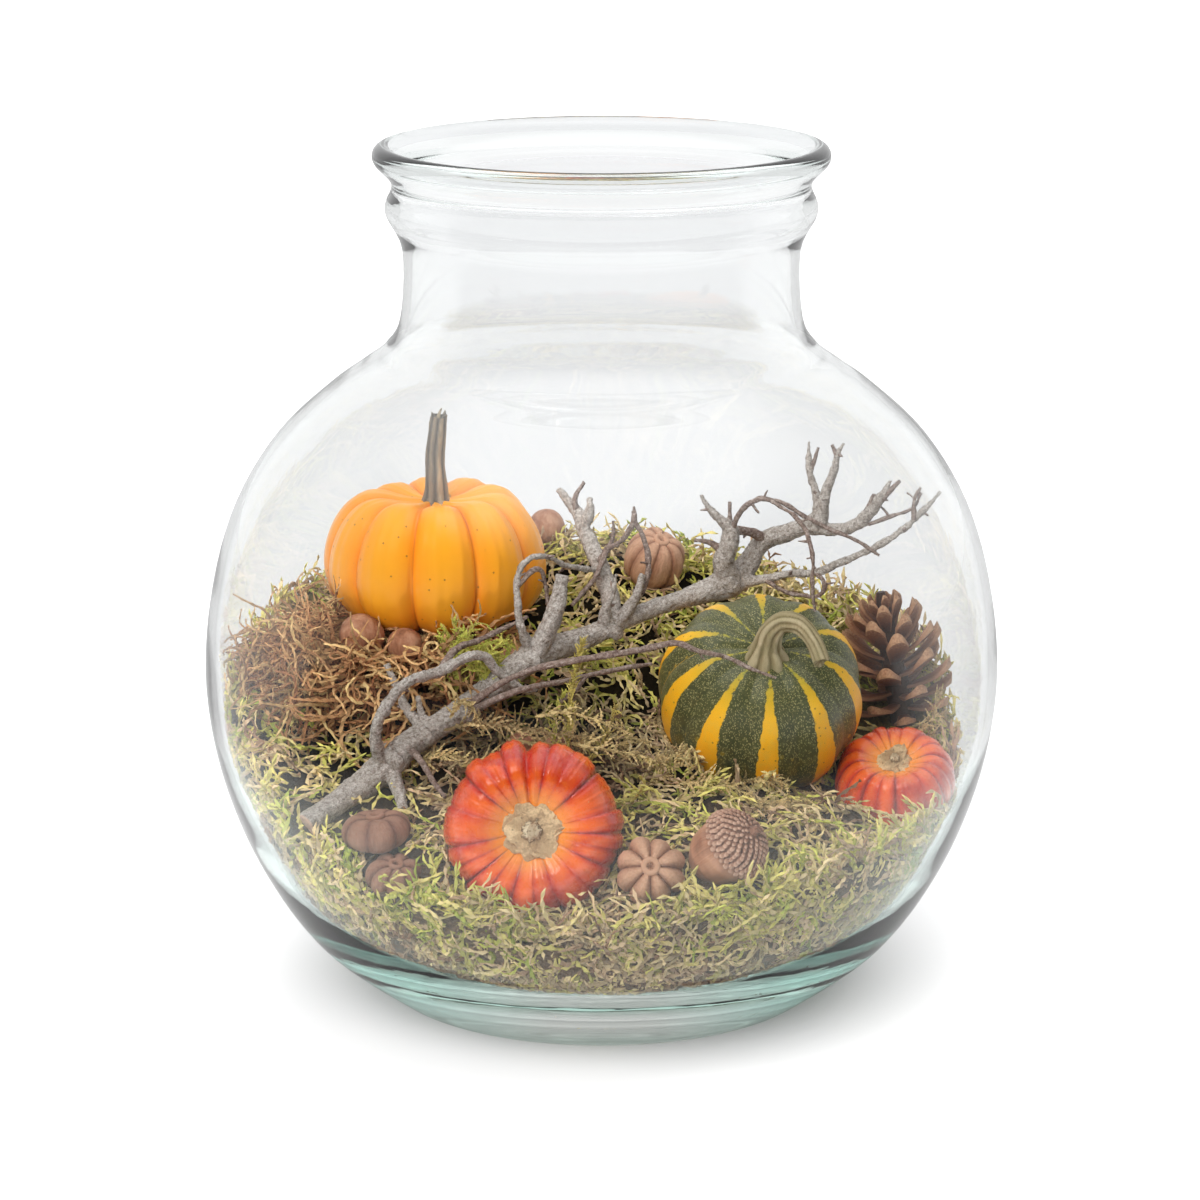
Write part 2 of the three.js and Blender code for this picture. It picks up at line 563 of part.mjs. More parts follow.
// The cap's outside: overlapping rows of scales, with a short stalk.
function acornCup(grow = 0) {
  const { radius, depth, wall, scaleRows, scalesPerRow } = ACORN_CAP;
  const top = ACORN.height + wall;
  const rows = [];
  for (let k = 0; k < scaleRows; k += 1) {
    for (const [t, swell] of [[k, 1.05], [k + 0.8, 0.97]]) {
      const rise = degrees(2 + (70 * t) / scaleRows);
      rows.push(ring(scalesPerRow * 2, (a, i) => {
        const bump = swell * ((i + k) % 2 ? 1.03 : 0.98);
        const r = (radius * bump + grow) * Math.cos(rise);
        const z = top - depth - grow + (depth * bump + 2 * grow) * Math.sin(rise);
        return new THREE.Vector3(r * Math.cos(a), r * Math.sin(a), z);
      }));
    }
  }
  const cup = solidOver([...rows, [new THREE.Vector3(0, 0, top + 0.4 + grow)]]);
  const tip = top + 1.8 + grow;
  const stalk = turned([[top - 1, 0], [top - 1, 1.6 + grow], [tip, 1.3 + grow], [tip, 0]], 7);
  return placed(cup.add(stalk), ACORN);
}

// ---- stems and calyxes ----

function pumpkinStem() {
  const line = [
    [-57, 20, 152, 6.5], [-57, 20, 161.5, 5], [-57, 20, 166, 3.9], [-57.2, 19.5, 180, 3.2],
    [-56, 18.5, 190, 2.9], [-55.5, 18, 194.4, 2.5],
  ];
  return largest(limb(line, 8, { flatTip: true, fluted: 0.18 }).subtract(ribbedFruit(ORANGE, GAP)));
}

function gourdStem() {
  const line = [
    [53.8, -26, 112, 7.5], [54.7, -32.5, 122.5, 6.6], [56.5, -35.5, 128, 5.2], [60.5, -37.5, 133, 4.6],
    [66, -40.5, 134, 4], [70, -46.5, 130, 3.2], [72, -51.5, 125, 2.9],
  ];
  return largest(limb(line, 8, { flatTip: true, fluted: 0.16 }).subtract(ribbedFruit(GOURD, GAP)));
}

// A thin ragged star in the dimple at a fruit's end, with the stub of its stalk.
function calyx(fruit, { reach, points, low, high, stub }) {
  const star = (z) => ring(points * 2, (a, i) => {
    const r = reach * (i % 2 ? 1 : 0.66) * (1 + 0.09 * Math.sin(i * 2.3));
    return new THREE.Vector3(r * Math.cos(a), r * Math.sin(a), z);
  });
  const end = high + 1.6;
  const stalk = turned([[low, 0], [low, stub * 1.5], [high + 0.8, stub * 1.3], [end, stub], [end, 0]], 8);
  const whole = solidOver([star(low), star(high)]).add(stalk);
  return largest(placed(whole, fruit).subtract(ribbedFruit(fruit, GAP)));
}

// ---- the whole ----

const group = new THREE.Group();
const fruits = [ORANGE, GOURD, FRUIT_FRONT, FRUIT_RIGHT];
const coneSeat = { radius: 21, height: 28, at: [102, 28, 106.5], tilt: 0, lean: -11 };
const seats = joined([
  ...fruits.map(hollowOf),
  ...Object.values(PODS).map(hollowOf),
  ...Object.values(NUTS).map(roundHollow),
  acornNut(GAP),
  acornCup(GAP),
  roundHollow(coneSeat),
  branch(GAP + 0.15),
]);
const inside = cavity();
const bed = largest(mossBed().intersect(inside).subtract(seats));
const bedLifted = bed.translate([0, 0, GAP + 0.1]);
const tangle = largest(dryTangle().intersect(inside).subtract(bedLifted).subtract(seats));
const tangleClear = tangle.translate([0, 0, GAP + 0.1]);

// A sprig is cut clear of the bed, the tangle, the fruits and the branch.
function sprig(stem, options) {
  const whole = featherSprig(stem, options).intersect(inside);
  return largest(whole.subtract(bedLifted).subtract(tangleClear).subtract(seats));
}

const up = new THREE.Vector3(0, 0, 1);
const toViewer = new THREE.Vector3(0, -1, 0);
const middleSprig = sprig(SPRIG_STEM, { pairs: 7, reach: 17, lean: 0.7, flat: up });
const plume = sprig(PLUME_STEM, { pairs: 5, reach: 8, lean: 0.9, flat: toViewer });
const greenTuft = sprig(TUFT_STEM, { pairs: 6, reach: 14, lean: 0.6, flat: toViewer });
const edgeSprig = sprig(EDGE_STEM, { pairs: 4, reach: 8, lean: 0.9, flat: toViewer });

group.add(mesh('glass_jar', glassJar(), 0xdfeee9, 0.05));
group.add(mesh('moss_bed', bed, 0x6f7a35, 0.95));
group.add(mesh('dry_moss_tangle', tangle, 0x7a5a3a, 0.95));
group.add(mesh('moss_sprig_middle', middleSprig, 0xa08a50, 0.95));
group.add(mesh('moss_plume', plume, 0x9aa033, 0.95));
group.add(mesh('moss_tuft_green', greenTuft, 0x8a9a3c, 0.95));
group.add(mesh('moss_sprig_edge', edgeSprig, 0xa39a55, 0.95));
group.add(mesh('pumpkin_orange', ribbedFruit(ORANGE), 0xf08a14, 0.45));
group.add(mesh('pumpkin_orange_stem', pumpkinStem(), 0x6d675a, 0.85));
group.add(mesh('gourd_green', ribbedFruit(GOURD), 0x2f3a1c, 0.4));
group.add(mesh('gourd_green_stem', gourdStem(), 0xa89468, 0.8));
group.add(mesh('fruit_front', ribbedFruit(FRUIT_FRONT), 0xc23a1e, 0.25));
group.add(mesh('fruit_front_calyx', calyx(FRUIT_FRONT, FRONT_CALYX), 0xc9ad77, 0.85));
group.add(mesh('fruit_right', ribbedFruit(FRUIT_RIGHT), 0xc8472b, 0.3));
group.add(mesh('fruit_right_calyx', calyx(FRUIT_RIGHT, RIGHT_CALYX), 0x9a8a68, 0.85));
group.add(mesh('pine_cone', largest(pineCone().subtract(bedLifted)), 0x5d3a24, 0.75));
group.add(mesh('branch', branch(), 0x85776c, 0.9));
group.add(mesh('acorn_nut', acornNut(), 0x8a5a36, 0.5));
group.add(mesh('acorn_cap', acornCup().subtract(acornNut(GAP)), 0x8b6a50, 0.8));
for (const [name, pod] of Object.entries(PODS)) {
  group.add(mesh(name, ribbedFruit(pod), 0x7f5236, 0.6));
}
for (const [name, nut] of Object.entries(NUTS)) {
  group.add(mesh(name, nutBody(nut), 0x7a4a30, 0.5));
}

export default group;
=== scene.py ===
# %% [markdown]
# # A glass jar filled with moss and dried natural things
# The real object is a blown glass globe with a short neck, filled with a sloping bed of moss. On the moss lie
# an orange pumpkin, a striped gourd, two ribbed red fruits, a twiggy branch, a pine cone, an acorn, pods and nuts.
# The imported solids give every size and place, so the first step is to load them.

# %% Load the imported solids
import math

import bpy
import numpy as np
from mathutils import Matrix, Vector


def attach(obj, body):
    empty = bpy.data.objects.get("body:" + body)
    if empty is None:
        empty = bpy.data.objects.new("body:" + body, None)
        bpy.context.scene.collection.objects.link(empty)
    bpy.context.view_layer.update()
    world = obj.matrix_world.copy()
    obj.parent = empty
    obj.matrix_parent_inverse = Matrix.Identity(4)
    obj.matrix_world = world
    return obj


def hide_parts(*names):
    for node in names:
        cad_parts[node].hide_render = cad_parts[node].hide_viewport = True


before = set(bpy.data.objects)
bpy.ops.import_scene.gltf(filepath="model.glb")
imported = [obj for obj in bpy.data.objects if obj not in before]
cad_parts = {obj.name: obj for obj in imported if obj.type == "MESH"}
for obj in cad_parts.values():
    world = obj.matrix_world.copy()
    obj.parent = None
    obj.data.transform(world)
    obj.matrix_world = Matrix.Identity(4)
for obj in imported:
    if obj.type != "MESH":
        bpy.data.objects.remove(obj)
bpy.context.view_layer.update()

MM = 0.001

# %% [markdown]
# ## Camera
# The photograph was taken from a little above, with a long lens about 1.3 m away. The lens number comes from how
# fast the jar's ellipses open from rim to foot.

# %% Camera
bpy.ops.object.select_all(action="DESELECT")
bpy.ops.object.camera_add(location=(-0.0005, -1.3, 0.4596), rotation=(math.radians(75.89), 0, 0))
camera = bpy.context.object
camera.data.lens = 117.9
camera.data.sensor_width = 36
camera.data.clip_start = 0.05
bpy.context.scene.camera = camera
print("camera", tuple(round(v, 3) for v in camera.location))

# %% [markdown]
# ## Helpers for finishes
# A finish is one Principled shader with a few procedural nodes in front of it. These helpers add a node, with its
# numbers and links, to the tree that lies on the bench, so that each finish below reads like a recipe.

# %% Finish helpers
class bench:
    """The node tree in hand, and the shader of its material."""
    tree = shader = None


def new_finish(name, roughness=0.6, **numbers):
    """A material, with its tree and shader on the bench. An underscore stands for a space."""
    finish = bpy.data.materials.new(name)
    finish.use_nodes = True
    bench.tree = finish.node_tree
    bench.shader = bench.tree.nodes["Principled BSDF"]
    for socket, value in {"Roughness": roughness, **numbers}.items():
        bench.shader.inputs[socket.replace("_", " ")].default_value = value
    return finish


def put(kind, inputs=None, **settings):
    """Adds a node. An input is a number, a colour or another node's output."""
    node = bench.tree.nodes.new(kind)
    for name, value in settings.items():
        setattr(node, name, value)
    for key, value in (inputs or {}).items():
        socket = node.inputs[key]
        if isinstance(value, bpy.types.NodeSocket):
            bench.tree.links.new(value, socket)
        else:
            socket.default_value = (*value[:3], 1) if socket.type == "RGBA" else value
    return node


def feed(socket, value):
    """Lets a node's output drive a socket of the shader."""
    bench.tree.links.new(value, bench.shader.inputs[socket])


def place_of(stretch=(1, 1, 1)):
    """The point on the object in metres, stretched along an axis if asked."""
    where = put("ShaderNodeTexCoord").outputs["Object"]
    return put("ShaderNodeMapping", {0: where, "Scale": stretch}).outputs[0]


def own_place(stretch=(1, 1, 1)):
    """The point on a fruit measured from its own middle, along its own axis."""
    where = put("ShaderNodeAttribute", attribute_name="own_place").outputs["Vector"]
    return put("ShaderNodeMapping", {0: where, "Scale": stretch}).outputs[0]


def parts_of(vector):
    """The X, Y and Z of a vector."""
    return put("ShaderNodeSeparateXYZ", {0: vector}).outputs


def measure(how, first, second=(0, 0, 0)):
    return put("ShaderNodeVectorMath", {0: first, 1: second}, operation=how).outputs["Value"]


def stored(name):
    return put("ShaderNodeAttribute", attribute_name=name).outputs["Fac"]


def noise(vector, scale, detail=4, rough=0.55, distort=0):
    return put("ShaderNodeTexNoise", {"Vector": vector, "Scale": scale, "Detail": detail, "Roughness": rough,
                                      "Distortion": distort}).outputs[0]


def ramp(factor, stops):
    """Colours along a factor from 0 to 1."""
    made = put("ShaderNodeValToRGB", {0: factor})
    bar = made.color_ramp
    while len(bar.elements) < len(stops):
        bar.elements.new(0.5)
    for element, (place, colour) in zip(bar.elements, stops):
        element.position = place
        element.color = (*colour, 1)
    return made.outputs[0]


def grey(factor, low, high, to_low=0, to_high=1):
    """Stretches a factor so that low becomes to_low and high becomes to_high."""
    return put("ShaderNodeMapRange", {0: factor, 1: low, 2: high, 3: to_low, 4: to_high}).outputs[0]


def mix(factor, first, second):
    return put("ShaderNodeMix", {0: factor, 6: first, 7: second}, data_type="RGBA").outputs[2]


def maths(how, first, second=0.5, third=0.5):
    return put("ShaderNodeMath", {0: first, 1: second, 2: third}, operation=how).outputs[0]


def times(first, second):
    return maths("MULTIPLY", first, second)


def times_plus(first, second, more):
    return maths("MULTIPLY_ADD", first, second, more)


def over(value, least):
    return maths("GREATER_THAN", value, least)


def bumpy(height, strength, distance):
    feed("Normal", put("ShaderNodeBump", {"Height": height, "Strength": strength, "Distance": distance}).outputs[0])


# %% Shared effects
def new_group(name, numbers, masks):
    """A node group of a vector and named numbers that gives named masks, put on the bench, and its two ends."""
    group = bench.tree = bpy.data.node_groups.new(name, "ShaderNodeTree")
    group.interface.new_socket("Vector", in_out="INPUT", socket_type="NodeSocketVector")
    for socket, value in numbers.items():
        group.interface.new_socket(socket, in_out="INPUT", socket_type="NodeSocketFloat").default_value = value
    for socket in masks:
        group.interface.new_socket(socket, in_out="OUTPUT", socket_type="NodeSocketFloat")
    return group, put("NodeGroupInput").outputs, put("NodeGroupOutput").inputs


def give(value, socket):
    bench.tree.links.new(value, socket)


specks, given, result = new_group("specks", {"Scale": 900, "Size": 0.2, "Share": 0.5}, ["Mask"])
cells = put("ShaderNodeTexVoronoi", {"Vector": given["Vector"], "Scale": given["Scale"]}).outputs
near = maths("LESS_THAN", cells["Distance"], given["Size"])
chosen = maths("LESS_THAN", put("ShaderNodeSeparateColor", {0: cells["Color"]}).outputs[0], given["Share"])
give(times(near, chosen), result["Mask"])

weather, given, result = new_group("weather", {"Scale": 60}, ["Broad", "Fine", "Height"])
broad = noise(given["Vector"], given["Scale"], 3, 0.5, 0.6)
fine = noise(given["Vector"], times(given["Scale"], 7), 6, 0.65, 0.3)
give(grey(broad, 0.32, 0.68), result["Broad"])
give(grey(fine, 0.3, 0.7), result["Fine"])
give(times_plus(fine, 0.6, broad), result["Height"])


def speckled(vector, scale, size, share):
    """The mask of small round flecks."""
    return put("ShaderNodeGroup", {"Vector": vector, "Scale": scale, "Size": size, "Share": share},
               node_tree=specks).outputs["Mask"]


def weathered(vector, scale):
    """Broad patches, fine patches, and a height for bumps."""
    return put("ShaderNodeGroup", {"Vector": vector, "Scale": scale}, node_tree=weather).outputs


print("groups", [g.name for g in bpy.data.node_groups])

# %% [markdown]
# ## Light
# The picture is bright and almost without shadow: white below and behind, one broad light from above on the left
# and a weaker one from above behind. Broad suns light the whole floor evenly, which keeps the backdrop one white.
# Clear glass shows only what it mirrors and bends. So the room has three brightnesses: white where the
# camera looks, softer as a light for the things, and a dim front with a bright roof and back for mirrored rays.

# %% White room
scene = bpy.context.scene
scene.view_settings.view_transform = "Standard"
scene.view_settings.look = "None"
scene.world = bpy.data.worlds.new("white_room")
scene.world.use_nodes = True
bench.tree = scene.world.node_tree
bench.shader = bench.tree.nodes["Background"]


def level(value):
    return (value, value * 1.005, value * 1.01)


way = parts_of(put("ShaderNodeTexCoord").outputs["Generated"])
seen = put("ShaderNodeLightPath").outputs
mirrored, often = over(seen["Glossy Depth"], 0.5), over(seen["Glossy Depth"], 1.5)
in_wall = times(over(seen["Transmission Depth"], 0.5), maths("LESS_THAN", seen["Transmission Depth"], 2.5))
front = mix(often, mix(in_wall, level(0.012), level(0.03)), level(0.75))
back = grey(way["Y"], -0.25, 0.35)
roof = put("ShaderNodeMapRange", {0: way["Z"], 1: 0.66, 2: 0.94}, interpolation_type="SMOOTHSTEP").outputs[0]
glossy = mix(roof, mix(back, front, level(0.93)), level(1.8))

# A softbox shows only in what the things inside mirror. It is a rectangle on a plane overhead.
height = maths("MAXIMUM", way["Z"], 0.05)
bands = []
for side, middle, half in (("X", -0.55, 0.30), ("Y", -0.75, 0.42)):
    off = maths("ABSOLUTE", maths("SUBTRACT", maths("DIVIDE", way[side], height), middle))
    bands.append(grey(off, half, half - 0.07))
inside = over(seen["Transmission Depth"], 2.5)
glossy = mix(times(times(*bands), inside), glossy, level(6))
open_view = maths("MAXIMUM", seen["Is Camera Ray"], seen["Is Transmission Ray"])
plain = mix(open_view, level(1.21), level(1))
feed("Color", mix(mirrored, plain, glossy))
print("room set")

# %% [markdown]
# What lies in the jar is lit by rays that pass straight through the glass. A ray that leaves the moss and is bent
# by the glass would find the same light once more, so for such rays the room is dark and the lamps are hidden.

# %% Count the light once
twice = times(over(seen["Diffuse Depth"], 0.5), seen["Is Transmission Ray"])
feed("Strength", maths("SUBTRACT", 1, twice))
for name, turn, strength, width in (("key_light", (44, -26, 0), 3.95, 64), ("back_light", (-24, 18, 0), 1.9, 70)):
    bpy.ops.object.select_all(action="DESELECT")
    bpy.ops.object.light_add(type="SUN", location=(0, 0, 2), rotation=[math.radians(a) for a in turn])
    lamp = bpy.context.object
    lamp.name = name
    lamp.data.energy = strength
    lamp.data.angle = math.radians(width)
    lamp.visible_transmission = False
    lamp.visible_glossy = False
    print(name, strength)

# %% [markdown]
# ## Helpers for meshes
# Every finished piece keeps its place in its mesh, stands for its node, and rides on the one body. The points of a
# mesh are read and written as one array, which is quick even for a hundred thousand of them.

# %% Mesh helpers
def start_from(primitive, name, **settings):
    """Adds one of Blender's primitives with nothing else selected, and names it."""
    bpy.ops.object.select_all(action="DESELECT")
    primitive(**settings)
    bpy.context.object.name = name
    return bpy.context.object


def pick_only(piece):
    """Leaves just this piece selected and active, in object mode."""
    if bpy.context.object and bpy.context.object.mode != "OBJECT":
        bpy.ops.object.mode_set(mode="OBJECT")
    bpy.ops.object.select_all(action="DESELECT")
    piece.select_set(True)
    bpy.context.view_layer.objects.active = piece


def settle(piece):
    """Puts place, turn and size into the mesh."""
    pick_only(piece)
    bpy.ops.object.transform_apply(location=True, rotation=True, scale=True)


def read_points(piece):
    points = np.empty(len(piece.data.vertices) * 3, dtype=np.float32)
    piece.data.vertices.foreach_get("co", points)
    return points.reshape(-1, 3).astype(float)


def write_points(piece, points):
    piece.data.vertices.foreach_set("co", np.asarray(points, dtype=np.float32).ravel())
    piece.data.update()


def round_ball(name, around, rows):
    """A ball of radius 1 with its points, and the turn round Z and the rise of each."""
    ball = start_from(bpy.ops.mesh.primitive_uv_sphere_add, name, segments=around, ring_count=rows, radius=1,
                      location=(0, 0, 0))
    points = read_points(ball)
    return ball, points, np.arctan2(points[:, 1], points[:, 0]), np.arcsin(np.clip(points[:, 2], -1, 1))


def edit_all(piece, operator, **settings):
    """Runs an operator of edit mode on everything in a piece."""
    pick_only(piece)
    bpy.ops.object.mode_set(mode="EDIT")
    bpy.ops.mesh.select_all(action="SELECT")
    operator(**settings)
    bpy.ops.object.mode_set(mode="OBJECT")


def join_to(whole, *others):
    pick_only(whole)
    for piece in others:
        piece.select_set(True)
    bpy.ops.object.join()


def paint(piece, name, values):
    """Keeps a number for each point of the mesh, for a material to read. One number stands for all."""
    layer = piece.data.attributes.new(name, "FLOAT", "POINT")
    layer.data.foreach_set("value", np.full(len(piece.data.vertices), values, dtype=np.float32))


def mesh_of(name, points, corners):
    """A mesh object of triangles or quads from arrays of points in metres and of corner numbers."""
    corners = np.asarray(corners, dtype=np.int32)
    mesh = bpy.data.meshes.new(name)
    mesh.vertices.add(len(points))
    mesh.vertices.foreach_set("co", np.asarray(points, dtype=np.float32).ravel())
    mesh.loops.add(corners.size)
    mesh.loops.foreach_set("vertex_index", corners.ravel())
    mesh.polygons.add(len(corners))
    mesh.polygons.foreach_set("loop_start", np.arange(0, corners.size, corners.shape[1], dtype=np.int32))
    mesh.update(calc_edges=True)
    piece = bpy.data.objects.new(name, mesh)
    scene.collection.objects.link(piece)
    return piece


def smooth(piece, angle=180):
    pick_only(piece)
    if angle >= 180:
        bpy.ops.object.shade_smooth()
    else:
        bpy.ops.object.shade_smooth_by_angle(angle=math.radians(angle))


def apply_modifiers(piece):
    pick_only(piece)
    for modifier in list(piece.modifiers):
        bpy.ops.object.modifier_apply(modifier=modifier.name)


def dress(piece, finish, slot, *replaced):
    """Gives a piece its finish, hangs it on the root body and hides the imported parts it replaces."""
    piece.data.materials.clear()
    piece.data.materials.append(finish)
    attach(piece, "root")
    if replaced:
        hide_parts(*replaced)
    print(piece.name, len(piece.data.polygons), "faces")


# %% [markdown]
# ## Floor
# The floor is a wide pale sheet. In what the glass mirrors, only its nearest part is bright and the rest is painted
# near black, as with a lit table in
# a dark room: that painted reflection lays a milky veil over the lower half of the globe and leaves the upper half
# clear.
# Seen through glass the floor is painted darker. Under the jar the floor seen through glass carries a painted glow in
# rings, where the thick foot would gather light, and a sea green painted glow beside the foot, where the light would
# run a long way inside the wall.

# %% Floor
floor = start_from(bpy.ops.mesh.primitive_plane_add, "studio_floor", size=9, location=(0, 0.5, 0))
settle(floor)
finish = new_finish("white_sweep", 0.8)
patches = noise(place_of(), 3.0)
white = ramp(patches, [(0.3, (0.70, 0.70, 0.705)), (0.7, (0.72, 0.72, 0.72))])
reach = measure("LENGTH", place_of())
spot = parts_of(place_of())
path = put("ShaderNodeLightPath").outputs
mirrored = over(path["Glossy Depth"], 0.5)
once = times(mirrored, maths("LESS_THAN", path["Transmission Depth"], 2.5))
through = over(path["Transmission Depth"], 0.5)
# Painted shade: in what the glass mirrors the floor is darker, seen only through glass darker still, and mirrored
# further off it is near black.
white = mix(mirrored, mix(through, white, (0.36, 0.36, 0.365)), (0.50, 0.50, 0.50))
far = times(grey(reach, 0.20, 0.40), grey(spot["Y"], 0.08, -0.12, 0.35, 1.0))
feed("Base Color", mix(times(far, once), white, (0.01, 0.01, 0.01)))
# Painted glow: an emission in rings under the foot, and sea green beside it, stands in for light gathered by the glass.
rings = noise(put("ShaderNodeCombineXYZ", {0: reach}).outputs[0], 160.0, 4.0, 0.7)
middle = times(grey(reach, 0.19, 0.07), grey(rings, 0.3, 0.7, 0.06, 0.42))
near = times_plus(grey(maths("ABSOLUTE", spot["X"]), 0.07, 0.11), -0.09, reach)
sides = times(grey(near, 0.22, 0.15), grey(rings, 0.35, 0.65, 0.13, 0.55))
wide = maths("MAXIMUM", grey(maths("ABSOLUTE", spot["X"]), 0.014, 0.06), grey(reach, 0.10, 0.14))
beside = times(mirrored, wide)
painted_caustic_glow = times_plus(beside, maths("SUBTRACT", sides, middle), middle)
feed("Emission Strength", times(painted_caustic_glow, through))
feed("Emission Color", mix(beside, (1.0, 0.95, 0.92), (0.50, 0.86, 0.77)))
floor.data.materials.append(finish)

# %% [markdown]
# ## The glass jar
# A blown jar is a solid of revolution, so it is drawn as half a section and spun. The section goes from the middle
# of the foot up the outside, over the rolled rim and down the inside to the thick floor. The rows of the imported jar
# are joined by a smooth curve, because real glass has no corners.

# %% Section of the jar
OUTSIDE = [(0, 76), (4, 81.5), (10, 89.5), (20, 101), (36, 112.8), (58, 124), (84, 132), (112, 135), (142, 131.6),
           (168, 123.6), (190, 110), (206, 93), (214, 82), (221, 73), (231, 67.4), (254, 66.5), (267, 72.2),
           (276, 69.8), (283, 75.6), (287, 75.8), (289, 73)]
INSIDE = [(287.6, 69.6), (282, 67.2), (276, 66.6), (266, 68.4), (254, 63.4), (231.5, 64.3), (220, 69.4),
          (212.5, 79), (204.5, 90.2), (188, 107.5), (166, 121.2), (141, 128.8), (112, 131.9), (84, 128.8), (57, 119.5),
          (35, 106.5), (20, 90), (14.5, 70)]


def smooth_line(rows, steps):
    """Points on a smooth curve through all rows, which may hold any count of numbers."""
    rows = np.asarray(rows, dtype=float)
    ends = np.vstack([2 * rows[0] - rows[1], rows, 2 * rows[-1] - rows[-2]])
    made = []
    for a, b, c, d in zip(ends, ends[1:], ends[2:], ends[3:]):
        for t in np.arange(steps) / steps:
            made.append(0.5 * (2 * b + (c - a) * t + (2 * a - 5 * b + 4 * c - d) * t ** 2
                               + (3 * b - a - 3 * c + d) * t ** 3))
    made.append(rows[-1])
    return np.array(made)


JAR_HEIGHT, JAR_REACH = 289, 135
section = smooth_line(OUTSIDE + INSIDE, 5)
section[:, 1] = np.minimum(section[:, 1], JAR_REACH)
section[:, 0] = np.clip(section[:, 0], 0, JAR_HEIGHT)
section = np.vstack([[0, 0], [0, 40], section, [14.2, 40], [14.5, 0]])
print("section points", len(section))

# %% Spin the jar
jar = start_from(bpy.ops.mesh.primitive_plane_add, "glass_jar_blown", size=MM, location=(0, 0, 0))
bpy.ops.object.mode_set(mode="EDIT")
bpy.ops.mesh.select_all(action="SELECT")
bpy.ops.mesh.merge(type="CENTER")
for (z, r), (next_z, next_r) in zip(section, section[1:]):
    step = ((next_r - r) * MM, 0, (next_z - z) * MM)
    bpy.ops.mesh.extrude_region_move(TRANSFORM_OT_translate={"value": step})
bpy.ops.mesh.select_all(action="SELECT")
bpy.ops.mesh.spin(steps=168, angle=2 * math.pi, center=(0, 0, 0), axis=(0, 0, 1))
bpy.ops.mesh.select_all(action="SELECT")
bpy.ops.mesh.remove_doubles(threshold=0.000004)
bpy.ops.mesh.normals_make_consistent(inside=False)
bpy.ops.object.mode_set(mode="OBJECT")
settle(jar)
smooth(jar)
print("jar", len(jar.data.polygons), "faces")

# %% [markdown]
# The glass is clear, with a faint green that only shows where there is a lot of it: in the thick foot and along the
# edges. That is volume absorption, not surface colour. Shadow rays pass straight through, so that the moss
# is lit without waiting for light to be bent by the glass. A very weak, slow ripple in the surface makes the
# reflections wave as on blown glass.

# %% Glass
glass = new_finish("clear_glass", 0, Transmission_Weight=1, IOR=1.45, Base_Color=(1, 1, 1, 1))
waves = noise(place_of((1, 1, 3)), 9, 1, 0.4)
low_part = grey(parts_of(place_of())["Z"], 0.05, 0.02, 0, 0.13)
streaks = noise(place_of((1, 1, 7)), 38, 2, 0.5)
bumpy(times_plus(streaks, low_part, waves), 0.12, 0.004)
shadow_ray = put("ShaderNodeLightPath").outputs["Is Shadow Ray"]
clear = put("ShaderNodeBsdfTransparent").outputs[0]
both = put("ShaderNodeMixShader", {0: shadow_ray, 1: bench.shader.outputs[0], 2: clear}).outputs[0]
absorb = put("ShaderNodeVolumeAbsorption", {"Color": (0.62, 0.88, 0.80), "Density": 7}).outputs[0]
ends = bench.tree.nodes["Material Output"].inputs
give(both, ends["Surface"])
give(absorb, ends["Volume"])
dress(jar, glass, "glass", "glass_jar")

# %% [markdown]
# ## The moss bed
# The bed is a core under a dense fleece of single moss strands; its top is painted near black, as the shade in the gaps
# of the fleece. The core is a round ball whose rows are
# moved: the lower rows lie on the glass floor, the middle rows follow the wall and the upper rows make the hills
# of the top. The same hills are in the imported solid, so the two have one shape.

# %% Shape of the bed
FORMS = [(8, 82, 50, 38, 14), (80, 88, 38, 42, -12), (105, 5, 60, 60, -24), (-15, -108, 38, 22, -11),
         (-118, 0, 30, 50, 6), (-42, -26, 13, 11, -9), (10, 12, 30, 22, 6), (10, 128, 100, 32, -18),
         (96, -54, 26, 22, -8), (-86, -86, 28, 17, -9)]
TANGLE = {"at": (-78, 8, 104), "half": (47, 40, 17)}
LOWEST = 15.8                            # no strand lies lower, because the glass floor is there
wall = np.array(sorted(INSIDE))


def wall_radius(z, gap=0.9):
    """How far from the axis the filling reaches at a height, in millimetres."""
    return np.interp(z, wall[:, 0], wall[:, 1]) - gap


def bed_top(x, y, rough=1.0):
    height = 97 + 0.31 * y
    for cx, cy, wx, wy, rise in FORMS:
        height = height + rise * np.exp(-((x - cx) / wx) ** 2 - ((y - cy) / wy) ** 2)
    ripple = np.sin(x * 0.23 + 1.7 * np.sin(y * 0.13)) + np.sin(y * 0.29 + 1.9 * np.sin(x * 0.11))
    return height + 2.0 * rough * ripple


def bed_edge(turn):
    """Radius and height where the top meets the glass, in a direction."""
    r = np.full_like(turn, 120.0)
    for _ in range(10):
        z = bed_top(r * np.cos(turn), r * np.sin(turn), 0.5)
        r = wall_radius(z)
    return r, z


